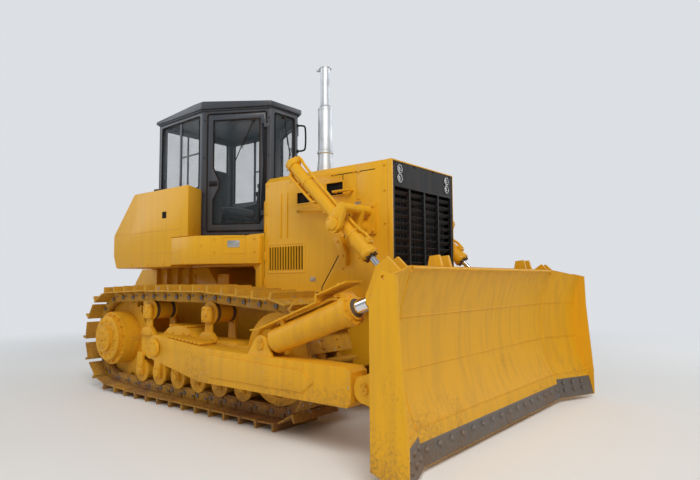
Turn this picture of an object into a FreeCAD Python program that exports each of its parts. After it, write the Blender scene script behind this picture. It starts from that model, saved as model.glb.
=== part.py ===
import FreeCAD, Part
import math
import os
import Sketcher

# Crawler bulldozer with a semi-U blade, an enclosed six-sided cab and a tall exhaust pipe.
# Millimetres. +X points to the blade, +Y to the machine's left, +Z up, and z = 0 is the ground.
# Sizes along X are counted from the sprocket axle, and every piece is then moved by sprocket_x,
# which puts the origin under the middle of the machine.

ROLLERS = 6
HULL_RIBS = 4
LOUVRES = 13
SLATS = 13
COLUMNS = 4

SIZES = {
    # place of the whole machine
    "sprocket_x": -1802,
    # undercarriage
    "track_gauge": 2000,
    "shoe_width": 560,
    "shoe_thick": 14,
    "shoe_long": 206,
    "grouser_rise": 60,
    "grouser_thick": 20,
    "link_below": 50,
    "link_above": 58,
    "link_gap": 150,
    "link_thick": 45,
    "sprocket_z": 625,
    "sprocket_pitch_radius": 468,
    "sprocket_teeth": 25,
    "sprocket_thick": 80,
    "tooth_rise": 26,
    "idler_x": 2710,
    "idler_z": 594,
    "idler_radius": 411.7,
    "idler_flange": 18,
    "carrier_z": 969,
    "carrier_radius": 100,
    "carrier_front_x": 1747,
    "carrier_rear_x": 672,
    "roller_radius": 105,
    "roller_flange": 20,
    "roller_first_x": 525,
    "roller_last_x": 2260,
    "rail_gap": 0.3,
    "beam_low": 430,
    "beam_high": 700,
    "beam_half": 150,
    "beam_rear_x": 515,
    "beam_front_x": 2240,
    "fork_plate": 35,
    "fork_low": 500,
    "fork_high": 680,
    "fork_reach": 170,
    "hanger_half": 55,
    "pivot_x": 760,
    "pivot_radius": 85,
    "equalizer_x": 1960,
    # hull
    "hull_half": 500,
    "hull_low": 470,
    "hull_rear_x": -780,
    "case_front_x": 850,
    "case_top": 1450,
    "deck_top": 1140,
    "deck_thick": 40,
    "deck_half": 640,
    "hull_front_x": 3540,
    "rib_spacing": 230,
    "rib_thick": 24,
    "ear_low": 560,
    "ear_high": 730,
    "ear_thick": 40,
    "drawbar_reach": 175,
    "drawbar_wide": 210,
    # engine housing
    "hood_half": 563,
    "hood_top": 2395,
    "hood_side_low": 1980,
    "hood_rear_x": 1920,
    "hood_sheet": 8,
    "hood_chamfer": 62,
    "guard_rear_x": 3170,
    "guard_front_x": 3540,
    "guard_top": 2378,
    "guard_wall": 25,
    "seam_gap": 6,
    "grille_thick": 31,
    "grille_side": 52,
    "grille_band": 245,
    "grille_low": 1190,
    "mullion": 26,
    "slat_run": 864,
    "louvre_first_x": 1990,
    "louvre_wide": 20,
    "louvre_low": 1400,
    "louvre_high": 1640,
    "louvre_run": 468,
    "lamp_radius": 34,
    "lamp_slack": 0.3,
    "lamp_half": 430,
    "lamp_low_z": 2215,
    "lamp_high_z": 2300,
    "rail_rear_x": 2930,
    "rail_front_x": 3130,
    "rail_z": 2135,
    "rail_radius": 13,
    "rail_out": 45,
    "engine_rear_x": 2000,
    "engine_front_x": 3060,
    "engine_half": 330,
    "engine_top": 1950,
    "stack_x": 2097,
    "stack_y": 217,
    "stack_top": 3815,
    "stack_upper_radius": 56,
    "stack_body_radius": 84,
    "stack_collar_radius": 94,
    "stack_collar_z": 2772,
    "stack_upper_long": 506,
    "stack_base_radius": 112,
    # tank and fenders
    "tank_half": 1000,
    "tank_rear_x": -450,
    "tank_front_x": 1150,
    "tank_front_inner_x": 950,
    "tank_top": 2360,
    "tank_bend": 1870,
    "tank_slope_x": 20,
    "tank_tuck": 70,
    "bay_rear_x": -130,
    "bay_half": 675,
    "platform_half": 565,
    "platform_top": 1800,
    "cowl_half": 350,
    "cowl_rear_top": 2180,
    "cowl_front_top": 2290,
    "fender_rear_x": 820,
    "fender_corner_x": 1300,
    "fender_front_x": 1900,
    "fender_front_half": 630,
    "fender_low": 1470,
    "fender_top": 1780,
    "leg_wide": 100,
    "leg_thick": 30,
    # cab
    "cab_front_x": 1640,
    "cab_front_half": 220,
    "cab_mid_x": 900,
    "cab_mid_half": 640,
    "cab_rear_x": -80,
    "cab_rear_half": 600,
    "cab_wall": 40,
    "cab_sill": 70,
    "cab_eave": 3330,
    "cab_header": 60,
    "roof_over": 35,
    "roof_ridge": 3425,
    "roof_rear": 3375,
    "roof_front": 3392,
    "post": 65,
    "door_gap": 8,
    "door_rail": 62,
    "hinge_along": 67.5,
    "hinge_out": 17,
    "hinge_leaf": 10,
    "hinge_low_z": 2000,
    "hinge_high_z": 3080,
    "knuckle_radius": 13,
    "knuckle_tall": 50,
    "hinge_pin_radius": 7,
    "glass_thick": 6,
    "window_low": 2400,
    "seat_half": 240,
    "console_half": 150,
    "armrest_y": 345,
    "armrest_wide": 130,
    # blade and its arms
    "trunnion_x": 1430,
    "trunnion_z": 640,
    "trunnion_radius": 70,
    "arm_y": 1450,
    "arm_thick": 190,
    "arm_top": 670,
    "arm_low": 390,
    "arm_front_x": 3990,
    "blade_top": 1389,
    "blade_low": 40,
    "blade_knee": 270,
    "hollow_x": 5418,
    "hollow_z": 842,
    "hollow_radius": 1250,
    "end_hole_radius": 16,
    "end_hole_back": 98,
    "end_hole_z": 1304,
    "blade_plate": 26,
    "blade_centre_half": 1359,
    "blade_half": 1862,
    "wing_reach": 200,
    "wing_drop": 73,
    "blade_back_x": 3990,
    "lift_y": 830,
    "lift_eye_x": 4030,
    "lift_eye_z": 1003,
    "lift_tilt": -44.5,
    "lift_barrel_low": 420,
    "lift_barrel_high": 927,
    "lift_pivot_reach": 1107,
    "lift_barrel_radius": 56,
    "lift_head_radius": 74,
    "lift_head_long": 230,
    "lift_cap_radius": 68,
    "lift_cap_long": 75,
    "lift_rod_radius": 29,
    "lift_rod_long": 1150,
    "lift_pin_radius": 40,
    "eye_radius": 58,
    "eye_half": 45,
    "rod_gap": 0.5,
    "yoke_ear": 80,
    "yoke_plate": 48,
    "yoke_gap": 48,
    "yoke_reach": 165,
    "yoke_turn": 57.5,
    "yoke_bar_radius": 40,
    "pin_slack": 0.3,
    "tilt_rear_x": 2930,
    "tilt_rear_z": 765,
    "tilt_front_x": 4090,
    "tilt_front_z": 1165,
    "tilt_barrel_radius": 105,
    "tilt_rod_radius": 52,
    "blade_pin_radius": 35,
    "blade_pin_long": 166,
    "rail_low": 300,
    "rail_high": 1310,
    "drawbar_pin_radius": 27,
}


class Size:
    """A length that knows its value and the sheet expression it stands for."""

    def __init__(self, text, value):
        self.text = text
        self.value = value

    def __add__(self, other):
        other = size(other)
        return Size("(%s + %s)" % (self.text, other.text), self.value + other.value)

    def __radd__(self, other):
        return size(other) + self

    def __sub__(self, other):
        other = size(other)
        return Size("(%s - %s)" % (self.text, other.text), self.value - other.value)

    def __rsub__(self, other):
        return size(other) - self

    def __mul__(self, other):
        other = size(other)
        return Size("(%s * %s)" % (self.text, other.text), self.value * other.value)

    def __rmul__(self, other):
        return size(other) * self

    def __truediv__(self, other):
        other = size(other)
        return Size("(%s / %s)" % (self.text, other.text), self.value / other.value)

    def __rtruediv__(self, other):
        return size(other) / self

    def __neg__(self):
        return size(0) - self

    def sin(self):
        return Size("sin(%s * 1 deg)" % self.text, math.sin(math.radians(self.value)))

    def cos(self):
        return Size("cos(%s * 1 deg)" % self.text, math.cos(math.radians(self.value)))

    def arctan(self):
        return Size("(atan(%s) / 1 deg)" % self.text, math.degrees(math.atan(self.value)))

    def root(self):
        return Size("sqrt(%s)" % self.text, math.sqrt(self.value))


def size(value):
    return value if isinstance(value, Size) else Size("(%r)" % value, float(value))


doc = FreeCAD.newDocument("bulldozer")
sheet = doc.addObject("Spreadsheet::Sheet", "sizes")
for row, (name, value) in enumerate(SIZES.items(), 1):
    sheet.set("A%d" % row, name)
    sheet.set("B%d" % row, str(value))
    sheet.setAlias("B%d" % row, name)
doc.recompute()


class Sheet:
    """Gives each named cell as a Size, such as at.hood_top."""

    def __getattr__(self, name):
        return Size("sizes." + name, float(sheet.get(name)))


at = Sheet()
NODES = []


def place_node(thing, label):
    """Names a finished sub-part and moves it from the sprocket axle to the machine's origin."""
    thing.Label = label
    if thing.TypeId == "Part::Feature":
        thing.Placement = FreeCAD.Placement(FreeCAD.Vector(at.sprocket_x.value, 0, 0), FreeCAD.Rotation())
    thing.setExpression("Placement.Base.x", at.sprocket_x.text)
    NODES.append(thing)
    return thing


class Piece:
    """A PartDesign body whose sketches take their points from the sheet.

    Each sketch lies on an origin plane. origin is the sketch's zero along its own two axes,
    level is its place along the third, and turn or heading tilts it in or about that plane.
    """

    PLANES = {"XY": "XY_Plane", "XZ": "XZ_Plane", "YZ": "YZ_Plane"}

    def __init__(self, name):
        self.name = name
        self.body = doc.addObject("PartDesign::Body", name + "_body")
        self.count = 0

    def sketch(self, plane, loops, level=0, origin=(0, 0), turn=None, heading=None):
        self.count += 1
        new = self.body.newObject("Sketcher::SketchObject", "%s_sketch%d" % (self.name, self.count))
        role = self.PLANES[plane]
        new.AttachmentSupport = ([o for o in self.body.Origin.OriginFeatures if o.Role == role][0], "")
        new.MapMode = "FlatFace"
        along, across = size(origin[0]), size(origin[1])
        depth = -size(level) if plane == "XZ" else size(level)
        if heading is not None:
            # a vertical wall: origin is its foot in plan and level its distance out of the wall
            heading = size(heading)
            out = size(level)
            foot_x = along + out * heading.sin()
            foot_y = across - out * heading.cos()
            along, across, depth = foot_x, size(0), -foot_y
            new.AttachmentOffset = FreeCAD.Placement(
                FreeCAD.Vector(along.value, across.value, depth.value),
                FreeCAD.Rotation(FreeCAD.Vector(0, 1, 0), heading.value))
            new.setExpression("AttachmentOffset.Rotation.Angle", heading.text)
        elif turn is not None:
            turn = size(turn)
            spin = FreeCAD.Vector(0, 0, 1 if turn.value >= 0 else -1)
            new.AttachmentOffset = FreeCAD.Placement(
                FreeCAD.Vector(along.value, across.value, depth.value),
                FreeCAD.Rotation(spin, abs(turn.value)))
            new.setExpression("AttachmentOffset.Rotation.Angle",
                              turn.text if turn.value >= 0 else (-turn).text)
        for axis, amount in (("x", along), ("y", across), ("z", depth)):
            new.setExpression("AttachmentOffset.Base." + axis, amount.text)
        for loop in loops:
            if loop[0] == "circle":
                self.circle(new, *loop[1:])
            else:
                self.outline(new, loop)
        return new

    def pin_point(self, sketch, geometry, corner, x, y):
        for kind, amount in (("DistanceX", size(x)), ("DistanceY", size(y))):
            spot = sketch.addConstraint(Sketcher.Constraint(kind, -1, 1, geometry, corner, amount.value))
            sketch.setExpression("Constraints[%d]" % spot, amount.text)

    def circle(self, sketch, x, y, radius):
        x, y, radius = size(x), size(y), size(radius)
        ring = Part.Circle(FreeCAD.Vector(x.value, y.value, 0), FreeCAD.Vector(0, 0, 1), radius.value)
        index = sketch.addGeometry(ring, False)
        self.pin_point(sketch, index, 3, x, y)
        spot = sketch.addConstraint(Sketcher.Constraint("Radius", index, radius.value))
        sketch.setExpression("Constraints[%d]" % spot, radius.text)

    def outline(self, sketch, points):
        """A closed outline. A third value in a point is the radius of an arc to the next point,
        bulging to the right of the way there, or to the left where it is negative."""
        first = sketch.GeometryCount
        flat = [FreeCAD.Vector(size(p[0]).value, size(p[1]).value, 0) for p in points]
        for i, point in enumerate(points):
            start, end = flat[i], flat[(i + 1) % len(flat)]
            if len(point) == 3:
                sketch.addGeometry(self.arc(start, end, size(point[2]).value), False)
            else:
                sketch.addGeometry(Part.LineSegment(start, end), False)
        for i, point in enumerate(points):
            after = (i + 1) % len(points)
            here_end = 2
            next_start = 1
            if len(point) == 3 and size(point[2]).value < 0:
                here_end = 1
            if len(points[after]) == 3 and size(points[after][2]).value < 0:
                next_start = 2
            sketch.addConstraint(Sketcher.Constraint("Coincident", first + i, here_end,
                                                     first + after, next_start))
        for i, point in enumerate(points):
            corner = 2 if len(point) == 3 and size(point[2]).value < 0 else 1
            self.pin_point(sketch, first + i, corner, point[0], point[1])
            if len(point) == 3:
                radius = size(point[2])
                spot = sketch.addConstraint(Sketcher.Constraint("Radius", first + i, abs(radius.value)))
                sketch.setExpression("Constraints[%d]" % spot,
                                     radius.text if radius.value > 0 else (-radius).text)

    def arc(self, start, end, radius):
        """The short arc between two points, counter-clockwise where the radius is positive."""
        if radius < 0:
            start, end = end, start
        reach = abs(radius)
        chord = end - start
        middle = (start + end) * 0.5
        lift = math.sqrt(max(reach ** 2 - (chord.Length / 2) ** 2, 0))
        across = FreeCAD.Vector(-chord.y, chord.x, 0).normalize()
        centre = middle + across * lift
        begin = math.atan2(start.y - centre.y, start.x - centre.x)
        finish = math.atan2(end.y - centre.y, end.x - centre.x)
        if finish < begin:
            finish += 2 * math.pi
        ring = Part.Circle(centre, FreeCAD.Vector(0, 0, 1), reach)
        return Part.ArcOfCircle(ring, begin, finish)

    def feature(self, kind, sketch):
        self.count += 1
        new = self.body.newObject("PartDesign::" + kind, "%s_%s%d" % (self.name, kind.lower(), self.count))
        new.Profile = sketch
        sketch.Visibility = False
        return new

    def pad(self, plane, loops, thick, cut=False, lean=None, **where):
        """Adds, or with cut takes away, a slab centred on the sketch."""
        new = self.feature("Pocket" if cut else "Pad", self.sketch(plane, loops, **where))
        new.Length = size(thick).value
        new.setExpression("Length", size(thick).text)
        new.Midplane = lean is None
        if lean is not None:
            new.UseCustomVector = True
            new.AlongSketchNormal = True
            new.Direction = FreeCAD.Vector(*[size(part).value for part in lean])
            for axis, part in zip("xyz", lean):
                new.setExpression("Direction." + axis, size(part).text)
        return new

    def cut(self, plane, loops, thick, **where):
        return self.pad(plane, loops, thick, cut=True, **where)

    def turned(self, plane, loops, axis="H_Axis", cut=False, **where):
        """Adds a full revolution about the sketch's own horizontal or vertical axis."""
        sketch = self.sketch(plane, loops, **where)
        new = self.feature("Groove" if cut else "Revolution", sketch)
        new.ReferenceAxis = (sketch, [axis])
        new.Angle = 360
        return new

    def row(self, feature, axis, length, count):
        """Repeats a feature along an origin axis, the last copy at the given distance."""
        self.count += 1
        new = self.body.newObject("PartDesign::LinearPattern", "%s_row%d" % (self.name, self.count))
        new.Originals = [feature]
        line = [o for o in self.body.Origin.OriginFeatures if o.Role == axis][0]
        new.Direction = (line, [""])
        new.Length = size(length).value
        new.setExpression("Length", size(length).text)
        new.Occurrences = count
        self.body.Tip = new
        return new

    def done(self, label=None):
        return place_node(self.body, label or self.name)


def rectangle(x0, y0, x1, y1):
    return [(x0, y0), (x1, y0), (x1, y1), (x0, y1)]


def both_sides():
    """The right side, where y is negative, and then the left."""
    return (("r", -1), ("l", 1))


# Track loop
# The pitch line of the chain is a belt round these circles, in order round the loop.

def belt_circles():
    below = at.link_below.value + at.rail_gap.value
    return [
        # x, z, radius of the pitch line
        (0.0, at.sprocket_z.value, at.sprocket_pitch_radius.value),
        (at.carrier_rear_x.value, at.carrier_z.value, at.carrier_radius.value + below),
        (at.carrier_front_x.value, at.carrier_z.value, at.carrier_radius.value + below),
        (at.idler_x.value, at.idler_z.value, at.idler_radius.value + below),
        (at.roller_last_x.value, roller_z(), at.roller_radius.value + below),
        (at.roller_first_x.value, roller_z(), at.roller_radius.value + below),
    ]


def roller_z():
    ground_pitch = at.link_above.value + at.shoe_thick.value + at.grouser_rise.value
    return ground_pitch + at.link_below.value + at.rail_gap.value + at.roller_radius.value


def belt_path(circles):
    """Straight runs and arcs round the circles, taken clockwise seen from the right."""
    touches = []
    for i, (x0, z0, r0) in enumerate(circles):
        x1, z1, r1 = circles[(i + 1) % len(circles)]
        away = math.hypot(x1 - x0, z1 - z0)
        touches.append(math.atan2(z1 - z0, x1 - x0) + math.acos((r0 - r1) / away))
    path = []
    for i, (x0, z0, r0) in enumerate(circles):
        before, after = touches[i - 1], touches[i]
        sweep = (before - after) % (2 * math.pi)
        path.append(("arc", x0, z0, r0, before, sweep, r0 * sweep))
        x1, z1, r1 = circles[(i + 1) % len(circles)]
        start = (x0 + r0 * math.cos(after), z0 + r0 * math.sin(after))
        end = (x1 + r1 * math.cos(after), z1 + r1 * math.sin(after))
        path.append(("run", start, end, after, math.dist(start, end)))
    return path


def belt_spot(path, distance):
    """The point on the pitch line and the outward direction there."""
    for piece in path:
        if distance > piece[-1]:
            distance -= piece[-1]
            continue
        if piece[0] == "arc":
            kind, x, z, radius, begin, sweep, length = piece
            angle = begin - distance / radius
            return x + radius * math.cos(angle), z + radius * math.sin(angle), angle
        kind, start, end, normal, length = piece
        share = distance / length
        return (start[0] + share * (end[0] - start[0]), start[1] + share * (end[1] - start[1]), normal)
    return belt_spot(path, distance - 0.001)


def track_solid(side):
    """Shoes with one grouser each, joined by the two rings of links that they are bolted to."""
    path = belt_path(belt_circles())
    total = sum(piece[-1] for piece in path)
    count = round(total / 219)
    half = at.shoe_long.value / 2
    base = at.link_above.value
    top = base + at.shoe_thick.value
    tip = top + at.grouser_rise.value
    tail = half - 8
    thick = at.grouser_thick.value
    # the shoe's section: distance along the chain, distance out from the pitch line
    shoe = [(-half, base), (half, base), (half, top), (thick - tail + 4, top),
            (thick - tail, tip), (-tail, tip), (-tail - 4, top), (-half, top)]
    centre_y = side * at.track_gauge.value / 2
    width = at.shoe_width.value
    outer, inner, shoes = [], [], []
    for i in range(count):
        x, z, normal = belt_spot(path, total * (i + 0.5) / count)
        out_x, out_z = math.cos(normal), math.sin(normal)
        way_x, way_z = out_z, -out_x

        def put(along, out):
            return FreeCAD.Vector(x + along * way_x + out * out_x, 0, z + along * way_z + out * out_z)

        corners = [put(*point) for point in shoe]
        face = Part.Face(Part.makePolygon(corners + corners[:1]))
        slab = face.extrude(FreeCAD.Vector(0, width, 0))
        slab.translate(FreeCAD.Vector(0, centre_y - width / 2, 0))
        shoes.append(slab)
        narrow = half * 0.82
        outer += [put(-half, base), put(half, base)]
        inner += [put(-narrow, -at.link_below.value), put(narrow, -at.link_below.value)]
    across = FreeCAD.Vector(0, at.link_thick.value, 0)
    ring = Part.Face(Part.makePolygon(outer + outer[:1])).extrude(across)
    ring = ring.cut(Part.Face(Part.makePolygon(inner + inner[:1])).extrude(across))
    rings = []
    for inside in (-at.link_gap.value / 2 - at.link_thick.value, at.link_gap.value / 2):
        copy = ring.copy()
        copy.translate(FreeCAD.Vector(0, centre_y + inside, 0))
        rings.append(copy)
    return rings[0].multiFuse([rings[1]] + shoes)


def sprocket_solid(side):
    """Toothed wheel, the hub drum outside it and the reduction case that joins it to the hull."""
    teeth = int(at.sprocket_teeth.value)
    pitch = at.sprocket_pitch_radius.value
    root, tip = pitch - 30, pitch + at.tooth_rise.value
    points = []
    for i in range(teeth):
        for share, radius in ((0.0, root), (0.22, root), (0.40, tip), (0.62, tip), (0.80, root)):
            angle = 2 * math.pi * (i + share) / teeth
            points.append(FreeCAD.Vector(radius * math.cos(angle), 0, radius * math.sin(angle)))
    wheel = Part.Face(Part.makePolygon(points + points[:1])).extrude(
        FreeCAD.Vector(0, at.sprocket_thick.value, 0))
    gauge = at.track_gauge.value / 2
    wheel.translate(FreeCAD.Vector(0, side * gauge - at.sprocket_thick.value / 2, 0))
    hull = at.hull_half.value
    # the turned parts: distance out from the machine's middle where each starts and ends, radius
    stages = [(hull, gauge - 160, 330), (gauge - 160, gauge - 60, 385), (gauge - 60, gauge + 60, 300),
              (gauge + 60, gauge + 235, 305), (gauge + 235, gauge + 290, 250),
              (gauge + 290, gauge + 345, 150)]
    solid = wheel
    for start, end, radius in stages:
        low = start if side > 0 else -end
        solid = solid.fuse(Part.makeCylinder(radius, end - start, FreeCAD.Vector(0, low, 0),
                                             FreeCAD.Vector(0, 1, 0)))
    solid.translate(FreeCAD.Vector(0, 0, at.sprocket_z.value))
    return solid.removeSplitter()


def plain_shape(name, label, shape):
    new = doc.addObject("Part::Feature", name)
    new.Shape = shape
    return place_node(new, label)


def undercarriage(mark, side):
    gauge = side * at.track_gauge / 2
    plain_shape("track_" + mark, "track_" + mark, track_solid(side))
    plain_shape("sprocket_" + mark, "sprocket_" + mark, sprocket_solid(side))

    link_out = at.link_gap / 2 + at.link_thick
    flange_in = link_out + 4
    wheel = Piece("idler_" + mark)
    tread = at.idler_radius
    hub_out = link_out + 7.7
    wheel.turned("YZ", [[(gauge - hub_out, 0), (gauge + hub_out, 0), (gauge + hub_out, 90),
                         (gauge - hub_out, 90)]], level=at.idler_x, origin=(0, at.idler_z))
    wheel.turned("YZ", [[(gauge - link_out, 0), (gauge + link_out, 0), (gauge + link_out, tread),
                         (gauge + at.link_gap / 2 - 5, tread),
                         (gauge + at.link_gap / 2 - 15, tread + at.idler_flange),
                         (gauge - at.link_gap / 2 + 15, tread + at.idler_flange),
                         (gauge - at.link_gap / 2 + 5, tread), (gauge - link_out, tread)]],
                 level=at.idler_x, origin=(0, at.idler_z))
    for face in (-1, 1):
        wheel.turned("YZ", [[(gauge + face * (link_out - 30), 150), (gauge + face * (link_out + 5), 150),
                             (gauge + face * (link_out + 5), tread - 70),
                             (gauge + face * (link_out - 30), tread - 90)]],
                     cut=True, level=at.idler_x, origin=(0, at.idler_z))
    wheel.done()

    rollers = Piece("rollers_" + mark)
    ground = (at.link_above + at.shoe_thick + at.grouser_rise + at.link_below + at.rail_gap
              + at.roller_radius)
    rim = at.roller_radius + at.roller_flange
    section = [(gauge - flange_in - 22, 0), (gauge + flange_in + 22, 0), (gauge + flange_in + 22, rim),
               (gauge + flange_in, rim), (gauge + flange_in, at.roller_radius),
               (gauge - flange_in, at.roller_radius), (gauge - flange_in, rim),
               (gauge - flange_in - 22, rim)]
    first = rollers.turned("YZ", [section], level=at.roller_first_x, origin=(0, ground))
    rollers.row(first, "X_Axis", at.roller_last_x - at.roller_first_x, ROLLERS)
    carrier_rim = at.carrier_radius + 15
    carrier = [(gauge - flange_in - 14, 0), (gauge + flange_in + 14, 0),
               (gauge + flange_in + 14, carrier_rim), (gauge + flange_in, carrier_rim),
               (gauge + flange_in, at.carrier_radius), (gauge - flange_in, at.carrier_radius),
               (gauge - flange_in, carrier_rim), (gauge - flange_in - 14, carrier_rim)]
    for place in (at.carrier_rear_x, at.carrier_front_x):
        rollers.turned("YZ", [carrier], level=place, origin=(0, at.carrier_z))
    rollers.done()

    frame = Piece("track_frame_" + mark)
    nose = at.beam_front_x + 60
    trunnion_end = at.arm_y + at.arm_thick / 2 + 12
    frame.pad("XZ", [("circle", at.trunnion_x, at.trunnion_z, at.trunnion_radius)],
              trunnion_end - at.track_gauge / 2, level=side * (trunnion_end + at.track_gauge / 2) / 2)
    frame.pad("XZ", [[(at.beam_rear_x, at.beam_low + 60), (at.beam_rear_x + 150, at.beam_low),
                      (at.beam_front_x, at.beam_low), (at.beam_front_x, at.beam_high - 40),
                      (at.beam_front_x - 120, at.beam_high), (at.beam_rear_x, at.beam_high)]],
              2 * at.beam_half, level=gauge)
    for face in (-1, 1):
        fork_y = gauge + face * (link_out + 8 + at.fork_plate / 2)
        tip = at.idler_x + at.fork_reach
        frame.pad("XZ", [[(at.beam_front_x - 200, at.fork_low), (nose, at.fork_low), (tip, at.fork_low + 30),
                          (tip, at.fork_high - 20), (nose, at.fork_high),
                          (at.beam_front_x - 200, at.fork_high)]],
                  at.fork_plate, level=fork_y)
        hanger_y = gauge + face * (flange_in + 22 + 0.3 + 15)
        for i in range(ROLLERS):
            spot = at.roller_first_x + (at.roller_last_x - at.roller_first_x) * i / (ROLLERS - 1)
            frame.pad("XZ", [rectangle(spot - at.hanger_half, ground - 45,
                                       spot + at.hanger_half, at.beam_low + 65)],
                      30, level=hanger_y)
        carrier_y = gauge + face * (flange_in + 14 + 0.3 + 11)
        for place in (at.carrier_rear_x, at.carrier_front_x):
            frame.pad("XZ", [[(place - 62, at.beam_high - 30), (place + 62, at.beam_high - 30),
                              (place + 45, at.carrier_z + 40), (place - 45, at.carrier_z + 40)]],
                      22, level=carrier_y)
    frame.done()


def hull():
    frame = Piece("main_frame")
    frame.pad("XZ", [[(at.hull_rear_x + 190, at.hull_low), (at.hull_front_x - 420, at.hull_low),
                      (at.hull_front_x - 60, at.hull_low + 130), (at.hull_front_x, at.hull_low + 330),
                      (at.hull_front_x, at.deck_top), (at.case_front_x + 280, at.deck_top),
                      (at.case_front_x, at.case_top), (at.hull_rear_x + 170, at.case_top),
                      (at.hull_rear_x, at.case_top - 190), (at.hull_rear_x, at.hull_low + 120)]],
              2 * at.hull_half)
    for side in (-1, 1):
        frame.pad("XY", [rectangle(at.case_front_x + 300, side * at.hull_half,
                                   at.hull_front_x, side * at.deck_half)],
                  at.deck_thick, level=at.deck_top - at.deck_thick / 2)
        for i in range(HULL_RIBS):
            rib = at.case_front_x - 330 - at.rib_spacing * i
            frame.pad("XZ", [rectangle(rib, at.deck_top, rib + at.rib_thick, at.case_top)],
                      60, level=side * (at.hull_half + 30))
    frame.done()

    bar = Piece("drawbar")
    tail = at.hull_rear_x - at.drawbar_reach
    low, high, ear = at.ear_low, at.ear_high, at.ear_thick
    bar.pad("XZ", [rectangle(tail, low, at.hull_rear_x, low + ear)], at.drawbar_wide)
    bar.pad("XZ", [rectangle(tail, high - ear, at.hull_rear_x, high)], at.drawbar_wide)
    bar.pad("XZ", [rectangle(at.hull_rear_x - 55, low + ear, at.hull_rear_x, high - ear)],
            at.drawbar_wide)
    bar.cut("XY", [("circle", tail + 70, 0, at.drawbar_pin_radius)], at.drawbar_wide,
            level=(low + high) / 2)
    bar.done()

    shafts = Piece("cross_shafts")
    inner = at.track_gauge / 2 - at.beam_half
    for side in (-1, 1):
        shafts.pad("XZ", [("circle", at.pivot_x, at.beam_low + 130, at.pivot_radius)],
                   inner - at.hull_half, level=side * (inner + at.hull_half) / 2)
        shafts.pad("XZ", [rectangle(at.equalizer_x - 70, at.beam_low + 75,
                                    at.equalizer_x + 70, at.beam_low + 210)],
                   inner - at.hull_half, level=side * (inner + at.hull_half) / 2)
    shafts.done()


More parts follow.
